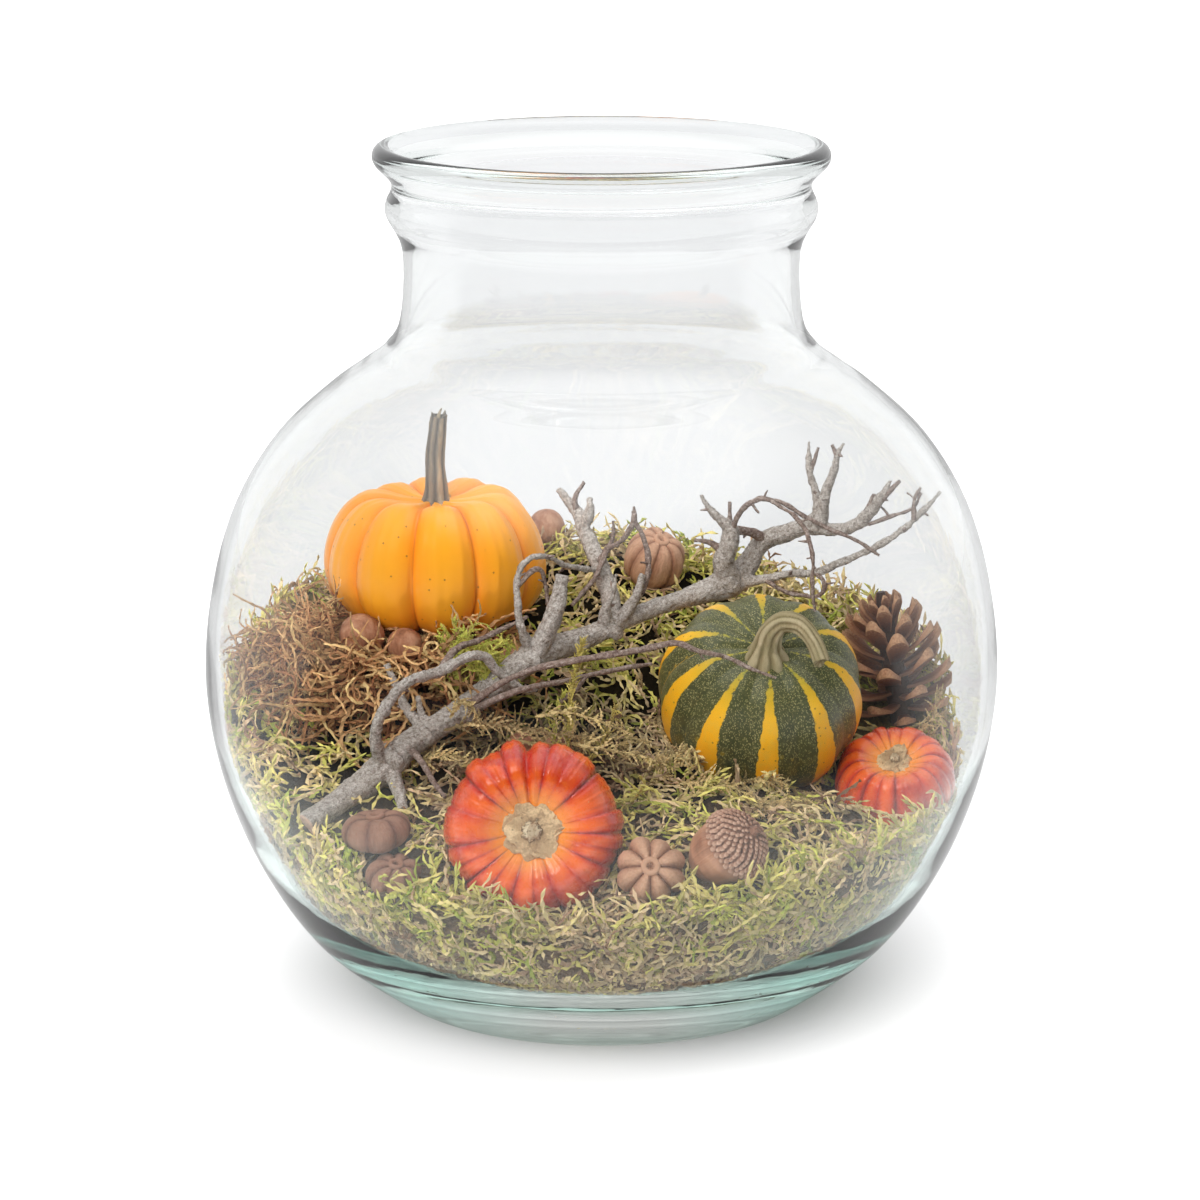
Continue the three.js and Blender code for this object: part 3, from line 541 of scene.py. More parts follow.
core, ball, turn, rise = round_ball("moss_bed_core", 160, 90)
row = rise / math.pi + 0.5
edge_r, edge_z = bed_edge(turn)
low = 15.4
flat = np.clip(row / 0.15, 0, 1)
wall_part = np.clip((row - 0.15) / 0.37, 0, 1)
top_part = np.clip((1 - row) / 0.48, 0, 1)
height = low + wall_part * (edge_z - 1.5 - low)
side_r = wall_radius(height, 2.4) - 0.8 * (1 + np.sin(9 * turn + 0.2 * height)) * (wall_part > 0.05)
radius = np.where(row < 0.15, flat * 68, np.where(row < 0.52, side_r, top_part * (edge_r - 3)))
radius = np.where((row >= 0.15) & (row < 0.19), np.minimum(radius, 68 + (row - 0.15) / 0.04 * 24), radius)
x, y = radius * np.cos(turn), radius * np.sin(turn)
grain = np.sin(x * 0.9 + 2 * np.sin(y * 0.7)) * np.sin(y * 0.8 + 2 * np.sin(x * 0.6))
height = np.where(row < 0.52, height, bed_top(x, y) - 2.6 + 0.9 * grain)
write_points(core, np.column_stack([x, y, height]) * MM)
smooth(core)
print("core", len(core.data.polygons), "faces")

# %% [markdown]
# ## Moss strands
# A strand of moss is a thin stem with tiny leaves that point to its tip, so its outline is serrated. Here it is
# a three-sided rod whose rings are wide and narrow in turn, the wide ones a little ahead. All strands are bent
# at once, as arrays: each starts at its root in its own direction and curls on its own way, and none passes
# through the glass. Short side shoots start from the long strands, as on feather moss.

# %% Bend many strands at once
def unit(vectors):
    return vectors / np.maximum(np.linalg.norm(vectors, axis=-1, keepdims=True), 1e-9)


def bend(random, roots, ways, ups, lengths, rings, curl, droop, lift=0.0):
    """Centre lines of strands in millimetres: each row turns about its own up, and sinks as it goes."""
    count = len(roots)
    step = lengths / (rings - 1)
    across = np.cross(ups, ways)
    turning = random.normal(0, curl, count)
    wobble = random.normal(0, curl * 0.6, (count, rings))
    lines = np.empty((count, rings, 3))
    lines[:, 0] = roots
    heading = np.zeros(count)
    pitch = np.full(count, lift) + random.normal(0, 0.25, count)
    for k in range(1, rings):
        heading = heading + turning + wobble[:, k]
        pitch = pitch - droop / rings + random.normal(0, 0.12, count)
        flat_way = ways * np.cos(heading)[:, None] + across * np.sin(heading)[:, None]
        way = flat_way * np.cos(pitch)[:, None] + ups * np.sin(pitch)[:, None]
        lines[:, k] = lines[:, k - 1] + way * step[:, None]
    return lines


def keep_in_jar(lines, gap=1.5):
    """Moves points that would touch the glass inwards. gap is one number, or one for each line."""
    lines[..., 2] = np.maximum(lines[..., 2], LOWEST)
    if np.ndim(gap):
        gap = np.asarray(gap)[:, None]
    reach = np.hypot(lines[..., 0], lines[..., 1])
    limit = wall_radius(lines[..., 2], gap)
    lines[..., :2] *= np.minimum(1, limit / np.maximum(reach, 1e-6))[..., None]
    return lines


def rods(lines, thick, random, sides=3, serrated=0.42, taper=0.75):
    """Points and triangles of closed pointed rods along the lines."""
    count, rings, _ = lines.shape
    ways = np.gradient(lines, axis=1)
    ways = unit(ways)
    side = random.normal(0, 1, (count, 1, 3))
    first = unit(np.cross(ways, side))
    second = np.cross(ways, first)
    place = np.linspace(0, 1, rings)
    wide = np.where(np.arange(rings) % 2 == 1, 1 + serrated, 1 - serrated)
    wide[0] = 0.8
    size = thick[:, None] * wide * (1 - taper * place ** 1.6)
    centre = lines + ways * (np.where(np.arange(rings) % 2 == 1, 0.35, 0.0)[None, :, None] * thick[:, None, None])
    shift = (np.arange(rings) % 2) * math.pi / sides
    angle = 2 * math.pi * np.arange(sides)[None, :] / sides + shift[:, None]
    ring = (first[:, :, None] * np.cos(angle)[None, :, :, None] + second[:, :, None] * np.sin(angle)[None, :, :, None])
    points = centre[:, :, None] + ring * size[:, :, None, None]
    tips = lines[:, -1] + ways[:, -1] * thick[:, None] * 1.2
    points = np.concatenate([points.reshape(count, -1, 3), tips[:, None]], axis=1)
    faces = []
    for k in range(rings - 1):
        for i in range(sides):
            a, b = k * sides + i, k * sides + (i + 1) % sides
            faces += [(a, b, b + sides), (a, b + sides, a + sides)]
    last = (rings - 1) * sides
    for i in range(sides):
        faces.append((last + i, last + (i + 1) % sides, rings * sides))
    for i in range(1, sides - 1):
        faces.append((0, i + 1, i))
    per = rings * sides + 1
    corners = (np.array(faces)[None] + (np.arange(count) * per)[:, None, None]).reshape(-1, 3)
    along = np.concatenate([np.repeat(place, sides), [1.0]])
    return points.reshape(-1, 3), corners, np.tile(along, count), per


def strand_piece(name, groups, random):
    """One mesh from groups of (lines, thickness, hue, options). Each strand keeps its hue and its own tone."""
    points, corners, along, hue, tone = [], [], [], [], []
    start = 0
    for lines, thick, colour, options in groups:
        made, faces, place, per = rods(lines, thick, random, **options)
        points.append(made)
        corners.append(faces + start)
        along.append(place)
        hue.append(np.repeat(colour, per))
        tone.append(np.repeat(random.uniform(0, 1, len(lines)), per))
        start += len(made)
    piece = mesh_of(name, np.concatenate(points) * MM, np.concatenate(corners))
    for layer, values in (("along", along), ("hue", hue), ("tone", tone)):
        paint(piece, layer, np.concatenate(values))
    smooth(piece, 50)
    return piece


print("strand tools ready")

# %% [markdown]
# ## What lies on the moss
# The fruits, pods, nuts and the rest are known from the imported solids. Each is described here once: the moss keeps
# out of them, and later the same values shape the pieces themselves.

# %% Values of the fruits
ORANGE = {"radius": 38.4, "height": 22.5, "ribs": 10, "groove": 0.1, "squareness": 0.62, "dimple": 5,
          "at": (-57.5, 20, 143.6), "tilt": 0, "lean": 0, "spin": 8}
GOURD = {"radius": 35, "height": 26.5, "ribs": 10, "groove": 0.045, "squareness": 0.7, "dimple": 3,
         "at": (53.8, -14, 103.4), "tilt": 37, "lean": 3, "spin": 4}
FRUIT_FRONT = {"radius": 28.6, "height": 17.5, "ribs": 20, "groove": 0.058, "squareness": 0.62, "dimple": 7,
               "at": (-22, -86, 78.3), "tilt": 75, "lean": -4, "spin": 0}
FRUIT_RIGHT = {"radius": 20.9, "height": 13.2, "ribs": 16, "groove": 0.075, "squareness": 0.62, "dimple": 4.5,
               "at": (100, -20.5, 73.4), "tilt": 24, "lean": -6, "spin": 0}
POD_FRONT = {"radius": 11.2, "height": 9.4, "ribs": 8, "groove": 0.19, "squareness": 0.75, "dimple": 1.2,
             "at": (15.5, -100, 68.7), "tilt": 62, "lean": 0, "spin": 0}
POD_LEFT = {**POD_FRONT, "radius": 11, "height": 5.3, "ribs": 7, "groove": 0.05, "squareness": 0.6,
            "at": (-72.6, -79, 75.5), "tilt": 2, "lean": -4}
POD_LOW_LEFT = {**POD_FRONT, "radius": 9, "height": 5.4, "ribs": 7, "at": (-66.5, -88, 63), "tilt": 20, "lean": 8}
POD_BACK = {**POD_FRONT, "groove": 0.07, "radius": 10.7, "height": 9.2, "at": (18.7, 64, 132.9), "tilt": 25, "lean": 20}
ACORN = {"radius": 10.9, "height": 13.2, "at": (38.6, -97, 74.1), "tilt": 25, "lean": 47}
CAP = {"radius": 12.3, "depth": 9.2, "wall": 1.6}
CONE = {"base": (107, 28, 81.5), "top": (97, 28, 131), "reach": 22.5}
NUTS = {"nut_1": (7.8, (-81, -13, 123.6)), "nut_2": (6, (-66.4, -15.5, 121)), "nut_3": (7, (-20, 84, 139.3)),
        "nut_4": (5, (-31.6, -5, 112.3)), "nut_5": (6, (-27, -35, 89.6)), "nut_6": (5, (-14.6, -34, 89.8))}


def placing(form):
    """The turn, tip and lean of a piece, then its place, in millimetres."""
    return (Matrix.Translation(form["at"]) @ Matrix.Rotation(math.radians(form.get("lean", 0)), 4, "Y")
            @ Matrix.Rotation(math.radians(form.get("tilt", 0)), 4, "X")
            @ Matrix.Rotation(math.radians(form.get("spin", 0)), 4, "Z"))


def set_down(piece, form, first=Matrix()):
    """Puts a piece that was shaped at the origin in its place, in metres."""
    where = placing(form)
    where.translation = where.translation * MM
    piece.matrix_world = where @ first
    settle(piece)


solids = [(np.array(placing(form).inverted()), form["radius"], form["height"])
          for form in (ORANGE, GOURD, FRUIT_FRONT, FRUIT_RIGHT, POD_FRONT, POD_LEFT, POD_LOW_LEFT, POD_BACK, ACORN)]
for size, spot in NUTS.values():
    solids.append((np.array(Matrix.Translation(spot).inverted()), size, size))
for spot, way, half in (((-91, -63, 76.5), (10, 10, 5), 14), ((-78, -54, 84), (14, 8, 9), 12)):
    along = Matrix.Translation(spot) @ Vector(way).to_track_quat("Z", "Y").to_matrix().to_4x4()
    solids.append((np.array(along.inverted()), 5.0, half))
cone_seat = {"at": (102, 28, 104), "lean": -11}
solids.append((np.array(placing(cone_seat).inverted()), 17, 24))


def clear_of_fruits(lines, grow=0.9, deepest=5.0):
    """Bends strands round the solid pieces, and says which of them ran too deep into one to be kept."""
    keep = np.ones(len(lines), dtype=bool)
    for inverse, radius, height in solids:
        local = lines @ inverse[:3, :3].T + inverse[:3, 3]
        turn_back = np.linalg.inv(inverse)
        middle_z = turn_back[2, 3]
        flat = np.hypot(local[..., 0], local[..., 1]) / (radius + grow)
        tall = np.abs(local[..., 2]) / (height + grow)
        level = (flat ** 2.6 + tall ** 2.6) ** (1 / 2.6)
        keep &= ((1 - level) * min(radius, height) < min(deepest, 0.45 * height)).all(axis=1)
        keep &= ~((level < 1.06) & (lines[..., 2] > middle_z - 0.1 * radius)).any(axis=1)
        out = 1 / np.clip(level, 0.3, 1)
        lines[...] = (local * out[..., None]) @ turn_back[:3, :3].T + turn_back[:3, 3]
    return keep


print("solids to keep clear of", len(solids))

# %% Grow the bed
def under_tangle(x, y, grow=1.0):
    (cx, cy, _), (hx, hy, _) = TANGLE["at"], TANGLE["half"]
    return ((x - cx) / hx) ** 2 + ((y - cy) / hy) ** 2 < grow


def bed_hue(x, y, z, random):
    """From 0, brown, over 0.35, tan, and 0.6, olive, to 1, fresh green."""
    top = bed_top(x, y, 0)
    depth = np.clip((top - z) / 50, 0, 1)
    patch = 0.5 + 0.5 * np.sin(x * 0.061 + 1.3 * np.sin(y * 0.05) + 0.7) * np.sin(y * 0.07 + 1.1 * np.sin(z * 0.06))
    middle = np.exp(-((x + 24) / 42) ** 2 - ((y + 36) / 23) ** 2)
    hue = 0.51 + 0.34 * (patch - 0.5) - 0.42 * depth ** 1.2 - 0.46 * middle
    return np.clip(hue + random.normal(0, 0.19, len(x)), 0, 1)


def grow_patch(random, x, y, z, up, rings=9, child_share=1.3, long=(9, 18), gap=1.6, wide=(0.45, 0.78), curl=0.32):
    """Long strands lying on a surface, with short side shoots."""
    count = len(x)
    roots = np.column_stack([x, y, z])
    way = unit(np.cross(up, random.normal(0, 1, (count, 3))))
    lengths = random.uniform(*long, count)
    lines = keep_in_jar(bend(random, roots, way, up, lengths, rings, curl, 0.75, 0.28), random.uniform(1.5, gap, count))
    keep = clear_of_fruits(lines)
    lines, up, lengths = lines[keep], up[keep], lengths[keep]
    hue = bed_hue(lines[:, 0, 0], lines[:, 0, 1], lines[:, 0, 2], random)
    thick = random.uniform(*wide, len(lines))
    groups = [(lines, thick, hue, {"taper": 0.36, "serrated": 0.36})]
    parents = random.integers(0, len(lines), int(len(lines) * child_share))
    ring = random.integers(2, rings - 2, len(parents))
    start = lines[parents, ring]
    ahead = unit(lines[parents, ring + 1] - start)
    hand = np.where(random.uniform(0, 1, len(parents)) > 0.5, 1, -1)[:, None]
    sideways = unit(np.cross(up[parents], ahead)) * hand
    child_way = unit(ahead + 0.9 * sideways)
    shoots = keep_in_jar(bend(random, start, child_way, up[parents], random.uniform(3.5, 7.5, len(parents)), 5,
                              0.2, 0.5, 0.15))
    fine = clear_of_fruits(shoots)
    groups.append((shoots[fine], thick[parents][fine] * 0.85, np.clip(hue[parents][fine] + 0.05, 0, 1),
                   {"taper": 0.42, "serrated": 0.36}))
    return groups


def on_top(random, count):
    turn = random.uniform(-math.pi, math.pi, count)
    edge_r, _ = bed_edge(turn)
    reach = edge_r * np.sqrt(random.uniform(0, 1, count))
    x, y = reach * np.cos(turn), reach * np.sin(turn)
    slope_x = (bed_top(x + 1, y) - bed_top(x - 1, y)) / 2
    slope_y = (bed_top(x, y + 1) - bed_top(x, y - 1)) / 2
    up = unit(np.column_stack([-slope_x, -slope_y, np.ones(count)]))
    return x, y, bed_top(x, y) - 1.5 + random.uniform(-1, 2.2, count), up


def on_wall(random, count, turn_low, turn_high):
    turn = random.uniform(turn_low, turn_high, count)
    _, edge_z = bed_edge(turn)
    z = LOWEST + (edge_z + 1 - LOWEST) * random.uniform(0, 1, count) ** 0.8
    depth = random.uniform(0, 5.0, count)
    r = wall_radius(z, 1.6) - depth
    outward = np.column_stack([np.cos(turn), np.sin(turn), np.zeros(count)])
    return r * np.cos(turn), r * np.sin(turn), z, outward


TOP_STRANDS = 4500
WALL_STRANDS = 2100
moss_pieces = []
random = np.random.default_rng(7)
for name, share in (("moss_top_a", 0.5), ("moss_top_b", 0.5)):
    x, y, z, up = on_top(random, int(TOP_STRANDS * share))
    open_ground = ~under_tangle(x, y, 0.72)
    groups = grow_patch(random, x[open_ground], y[open_ground], z[open_ground], up[open_ground])
    moss_pieces.append(strand_piece(name, groups, random))
for name, low_turn, high_turn, share in (("moss_wall_front_left", -math.pi + 0.35, -math.pi / 2, 1.0),
                                         ("moss_wall_left", 1.9, math.pi + 0.35, 1.0),
                                         ("moss_wall_front_right", -math.pi / 2, -0.35, 1.0),
                                         ("moss_wall_right", -0.35, 0.8, 0.95), ("moss_wall_back", 0.8, 1.9, 0.95)):
    x, y, z, up = on_wall(random, int(WALL_STRANDS * share), low_turn, high_turn)
    groups = grow_patch(random, x, y, z, up, 9 if share == 1.0 else 7, child_share=1.0, long=(9, 20), gap=6.0,
                        wide=(0.5, 0.9), curl=0.38)
    moss_pieces.append(strand_piece(name, groups, random))
print("bed pieces", {p.name: len(p.data.polygons) for p in moss_pieces})

# %% Moss finish
SHADED_HOLLOW = (-0.014, -0.032, 0.092)    # metres, behind the front fruit


def moss_finish(name, stops, dark=0.42, rough=0.85, by_place=None):
    """Strand colours along hue, painted darker at the root as the shade deep in the fleece, each strand a little
    lighter or darker.
    """
    finish = new_finish(name, rough, Specular_IOR_Level=0.25)
    hue, tone, along = stored("hue"), stored("tone"), stored("along")
    fleck = noise(place_of(), 420.0, 3.0, 0.6)
    shifted = times_plus(fleck, 0.30, maths("SUBTRACT", hue, 0.15))
    colour = ramp(shifted, stops)
    # Painted shade: each strand is darker at its root, down in the fleece.
    shade = grey(times_plus(tone, 0.65, times(along, 0.35)), 0.0, 1.0, dark, 1.36)
    if by_place:
        shade = times(shade, by_place())
    tint = put("ShaderNodeHueSaturation", {"Value": shade, "Color": colour}).outputs[0]
    feed("Base Color", tint)
    feed("Roughness", grey(fleck, 0.3, 0.7, rough - 0.12, min(1.0, rough + 0.1)))
    bumpy(noise(place_of(), 1800.0, 2.0), 0.5, 0.0004)
    return finish


def painted_light_and_shade():
    """Moss is painted paler high up and at the left, as light falling there, and painted darker in the hollow behind
    the front fruit, as shade.
    """
    spot = parts_of(place_of())
    away = measure("DISTANCE", place_of(), SHADED_HOLLOW)
    # Painted light and shade: brighter with height and towards the left, darker near the hollow behind the front fruit.
    pale = times(grey(spot["Z"], 0.045, 0.085, 0.96, 1.10), grey(spot["X"], -0.045, -0.10, 1.0, 1.2))
    return times(pale, grey(away, 0.016, 0.046, 0.34, 1.0))


bed_moss = moss_finish("bed_moss", [(0.0, (0.28, 0.16, 0.095)), (0.22, (0.56, 0.39, 0.245)),
                                    (0.42, (0.83, 0.66, 0.37)), (0.6, (0.74, 0.64, 0.21)),
                                    (0.8, (0.55, 0.56, 0.12)), (1.0, (0.36, 0.43, 0.075))], by_place=painted_light_and_shade)
for piece in moss_pieces:
    dress(piece, bed_moss, "moss_green", "moss_bed")

# Painted shade: the core is near black where it fills the gaps of the fleece. Low down it is brown, both the moss
# colour there and painted light where little light reaches; at the back it is olive moss colour.
core_shade_and_moss = new_finish("core_painted_shade_and_moss", 0.95, Specular_IOR_Level=0.08)
broad, fine, relief = weathered(place_of(), 90.0)
colour = mix(fine, mix(broad, (0.003, 0.002, 0.001), (0.009, 0.007, 0.003)), (0.018, 0.013, 0.006))
low_down = grey(parts_of(place_of())["Z"], 0.085, 0.05)
colour = mix(low_down, colour, mix(fine, (0.06, 0.038, 0.024), (0.30, 0.20, 0.13)))
spot = parts_of(place_of())
flat = put("ShaderNodeCombineXYZ", {0: spot["X"], 1: spot["Y"]}).outputs[0]
reach = measure("LENGTH", flat)
behind = times(grey(reach, 0.085, 0.10), grey(spot["Y"], 0.0, 0.05))
colour = mix(behind, colour, mix(fine, (0.09, 0.06, 0.028), (0.34, 0.29, 0.09)))
feed("Base Color", colour)
bumpy(relief, 0.9, 0.002)
dress(core, core_shade_and_moss, "moss_green", "moss_bed")

# %% [markdown]
# ## The dry tangle
# On the left lies a mound of dead, curly moss: brown threads in loops and hooks, with dark gaps. Its threads
# are the same rods with hardly any leaves, bent much more, rooted all over a mound painted near black as the shade in
# those gaps.

# %% Dry tangle
random = np.random.default_rng(19)
mound = start_from(bpy.ops.mesh.primitive_ico_sphere_add, "dry_moss_core", subdivisions=5, radius=1,
                   location=(0, 0, 0))
ball = read_points(mound)
(cx, cy, cz), (hx, hy, hz) = TANGLE["at"], TANGLE["half"]
swell = 1 + 0.05 * np.sin(ball[:, 0] * 7 + 2) * np.sin(ball[:, 1] * 9) + 0.04 * np.sin(ball[:, 2] * 13 + ball[:, 0] * 5)
tip = math.radians(6)


def tipped(local):
    """Points of the mound in the jar: its right side lies higher."""
    return np.column_stack([cx + local[:, 0] * math.cos(tip) - local[:, 2] * math.sin(tip), cy + local[:, 1],
                            cz + local[:, 2] * math.cos(tip) + local[:, 0] * math.sin(tip)])


write_points(mound, keep_in_jar(tipped(ball * swell[:, None] * (hx - 8, hy - 8, hz - 8)), 3.5) * MM)
smooth(mound)


def on_mound(count, low, high):
    """Roots on the mound, and the outward way at each."""
    way = unit(random.normal(0, 1, (count, 3)) * (1, 1, 0.8) + (0, -0.15, 0.5))
    local = way * (hx - 3, hy - 3, hz - 2) * random.uniform(low, high, count)[:, None]
    return tipped(local), unit(way / (hx, hy, hz))


def thread_group(roots, out, long, curl, droop, lift, thick, hue, rings=12):
    """Curly threads from roots, bent round the nuts and the pumpkin."""
    lay = unit(np.cross(out, random.normal(0, 1, out.shape)))
    lines = keep_in_jar(bend(random, roots, lay, out, random.uniform(*long, len(roots)), rings, curl, droop, lift), 1.7)
    lines = lines[clear_of_fruits(lines, 0.6)]
    return (lines, random.uniform(*thick, len(lines)), np.clip(random.normal(*hue, len(lines)), 0, 1),
            {"serrated": 0.16, "taper": 0.5})


roots, out = on_mound(1500, 0.80, 1.0)
inner = thread_group(roots, out, (8, 20), 0.36, 1.4, 0.7, (0.42, 0.72), (0.30, 0.18))
roots, out = on_mound(850, 0.90, 1.06)
loops = thread_group(roots, out, (14, 34), 0.33, 0.9, 0.75, (0.58, 0.95), (0.66, 0.17), 16)
near_nuts = np.column_stack([random.uniform(-96, -48, 70), random.uniform(-30, -18, 70), random.uniform(114, 121, 70)])
over = thread_group(near_nuts, unit(np.tile([[0.0, -0.5, 0.8]], (70, 1))), (12, 26), 0.3, 0.9, 0.3, (0.5, 0.85),
                    (0.7, 0.15), 14)
tangle = strand_piece("dry_moss_threads", [inner, loops, over], random)
print("threads", len(inner[0]), len(loops[0]), len(over[0]))

# %% Loose wisps at the tangle's left edge
count = 64
edge_roots = np.column_stack([random.uniform(-116, -84, count), random.uniform(-26, 12, count), np.zeros(count)])
edge_roots[:, 2] = 104 + (edge_roots[:, 0] + 116) * 0.42 + random.uniform(0, 8, count)
lift_way = unit(np.column_stack([random.normal(-0.15, 0.5, count), random.normal(-0.15, 0.4, count),
                                 random.uniform(0.5, 1.3, count)]))
out = np.tile([[-0.6, -0.5, 0.6]], (count, 1))
wisps = keep_in_jar(bend(random, edge_roots, lift_way, unit(out), random.uniform(10, 30, count), 14, 0.26, 0.2), 1.8)
wisps = wisps[clear_of_fruits(wisps)]
side_start = wisps[:, 4:11].reshape(-1, 3)
side_way = unit(random.normal(0, 1, side_start.shape) + (0, 0, 0.4))
side_up = unit(np.cross(side_way, random.normal(0, 1, side_start.shape)))
sides = keep_in_jar(bend(random, side_start, side_way, side_up, random.uniform(2.5, 7, len(side_start)), 6, 0.35,
                         0.2), 1.6)
wisp = strand_piece("dry_moss_wisps", [
    (wisps, random.uniform(0.4, 0.72, len(wisps)), random.uniform(0.25, 0.8, len(wisps)), {"serrated": 0.2}),
    (sides, random.uniform(0.28, 0.5, len(sides)), random.uniform(0.25, 0.9, len(sides)), {"serrated": 0.3})], random)

dry_moss = moss_finish("dry_moss", [(0.0, (0.12, 0.045, 0.022)), (0.3, (0.34, 0.145, 0.065)),
                                    (0.55, (0.58, 0.31, 0.145)), (0.8, (0.78, 0.49, 0.23)),
                                    (1.0, (0.86, 0.63, 0.29))], 0.35)
dress(tangle, dry_moss, "moss_brown", "dry_moss_tangle")
dress(wisp, dry_moss, "moss_brown", "dry_moss_tangle")
# Painted shade: the mound under the threads is near black, the shade in the tangle's gaps.
dark = new_finish("tangle_painted_shade", 0.95, Specular_IOR_Level=0.08)
_, fine, relief = weathered(place_of(), 110.0)
feed("Base Color", mix(fine, (0.006, 0.003, 0.002), (0.028, 0.013, 0.007)))
bumpy(relief, 0.9, 0.002)
dress(mound, dark, "moss_brown", "dry_moss_tangle")

# %% [markdown]
# ## Feather moss
# Tan and lime sprigs look like small ferns: a curved stem with pairs of shoots that shorten to the tip, and the
# shoots are leafy strands again. One helper lays the shoots on any stem line; the four sprigs of the packed
# model use their own stems, and loose ones are strewn over the middle of the bed.

# %% Feather sprigs
def feather(random, stem, pairs, reach, flat, spread):
    """Groups of strands for one sprig: its stem and its shoots on both hands."""
    line = smooth_line(stem, 5)[:, :3]
    ways = unit(np.gradient(line, axis=0))
    place = np.linspace(0.08, 0.97, pairs * 2)
    at = np.column_stack([np.interp(place, np.linspace(0, 1, len(line)), line[:, i]) for i in range(3)])
    ahead = np.column_stack([np.interp(place, np.linspace(0, 1, len(line)), ways[:, i]) for i in range(3)])
    hand = np.where(np.arange(len(place)) % 2 == 0, 1, -1)[:, None]
    across = unit(np.cross(np.asarray(flat, float), ahead)) * hand
    shoot_way = unit(across * math.cos(spread) + ahead * math.sin(spread) + random.normal(0, 0.14, at.shape))
    size = reach * (1 - 0.62 * place) * random.uniform(0.75, 1.15, len(place))
    up = unit(np.tile(np.asarray(flat, float), (len(place), 1)))
    shoots = bend(random, at, shoot_way, up, size, 8, 0.1, 0.5, 0.25)
    return line, shoots


def sprig_piece(name, sprigs, hue, random, thick=0.5):
    """A mesh of several sprigs, each (stem, pairs, reach, flat, spread)."""
    groups = []
    for stem, pairs, reach, flat, spread in sprigs:
        line, shoots = feather(random, stem, pairs, reach, flat, spread)
        line = keep_in_jar(line[None])
        shoots = keep_in_jar(shoots)
        shoots = shoots[clear_of_fruits(shoots, 0.2)]
        base = random.normal(hue, 0.07)
        groups.append((line, np.array([thick * 1.15]), np.array([base]), {"serrated": 0.1, "taper": 0.6}))
        if len(shoots):
            groups.append((shoots, random.uniform(0.8, 1.2, len(shoots)) * thick,
                           np.clip(random.normal(base, 0.08, len(shoots)), 0, 1), {"serrated": 0.45}))
    return strand_piece(name, groups, random)


random = np.random.default_rng(31)
VIEWER, FROND = (0, -1, 0.25), (0, -0.6, 0.8)
middle = [([(-34, -24, 84), (-29, -25, 92), (-16, -26, 92), (-2, -27, 91), (12, -30, 88)], 16, 11, FROND, 0.7),
          ([(-52, -47, 100), (-41, -49, 103), (-28, -48, 101), (-14, -45, 98), (0, -42, 96)], 22, 7.5, FROND, 0.75),
          ([(-50, -46, 104), (-47, -49, 110), (-43, -50, 109), (-39, -50, 101)], 11, 5, VIEWER, 0.8),
          ([(-22, -42, 103), (-12, -43, 105), (0, -41, 101), (10, -38, 96)], 16, 7, FROND, 0.7),
          ([(-31, -41, 95), (-18, -40, 93), (-4, -38, 93), (9, -35, 91)], 16, 8, FROND, 0.7),
          ([(-8, -48, 95), (4, -48, 93), (15, -46, 90), (24, -44, 86)], 14, 7, FROND, 0.75),
          ([(-62, -54, 90), (-52, -56, 94), (-43, -56, 92), (-35, -54, 87)], 13, 6, FROND, 0.8),
          ([(-46, -52, 89), (-35, -52, 92), (-23, -51, 90), (-10, -50, 87)], 15, 7, FROND, 0.75)]
for _ in range(28):
    x, y = random.uniform(-56, 62), random.uniform(-60, -14)
    way = random.uniform(-0.9, 0.9)
    length = random.uniform(16, 30)
    if y > -34 and x > 24:
        continue
    stem = []
    for t in (0, 0.33, 0.66, 1):
        sx = x + length * t * math.cos(way)
        sy = y + length * t * math.sin(way) * 0.6 - 1.5 * t
        stem.append((sx, sy, bed_top(sx, sy) + 1 + 6 * t * (1 - 0.6 * t)))
    middle.append((stem, 11, random.uniform(5, 8.5), FROND, 0.75))
sprig_middle = sprig_piece("feather_moss_middle", middle, 0.36, random, 0.58)
plume = sprig_piece("feather_plume", [
    ([(-11, -40, 90), (-11, -40, 100), (-10, -38, 110), (-8, -35, 121), (-6, -33, 128)], 34, 5.5, VIEWER, 1.0),
    ([(-14, -39, 88), (-16, -40, 96), (-15, -39, 104), (-12, -37, 111)], 13, 5, VIEWER, 0.9),
    ([(-8, -40, 82), (-2, -41, 90), (3, -40, 100), (5, -38, 106)], 11, 6, VIEWER, 0.9)], 0.45, random)
edge = sprig_piece("feather_edge", [
    ([(110, 4, 70), (113, 4, 80), (115, 4, 90), (117, 4, 100)], 11, 8, VIEWER, 0.9),
    ([(104, 2, 68), (106, 1, 77), (110, 0, 86), (116, 0, 92)], 10, 7, VIEWER, 0.9)], 0.35, random)
tuft_sprigs = [([(-50, -27, 104), (-49, -28, 112), (-47, -27, 122), (-42, -26, 132)], 13, 9, VIEWER, 0.9)]
for _ in range(34):
    x, y = random.normal(-44, 5.5), random.normal(-24, 4)
    z = 106 + random.uniform(0, 12)
    top = (x + random.normal(0, 5), y - random.uniform(0, 5), z + random.uniform(7, 15))
    side = random.normal(0, 2.5)
    stem = [(x, y, z), (x + side, y - 1, 0.5 * (z + top[2])), top]
    tuft_sprigs.append((stem, 8, random.uniform(3.5, 6), VIEWER, 1.0))
tuft = sprig_piece("feather_tuft_green", tuft_sprigs, 0.6, random, 0.5)

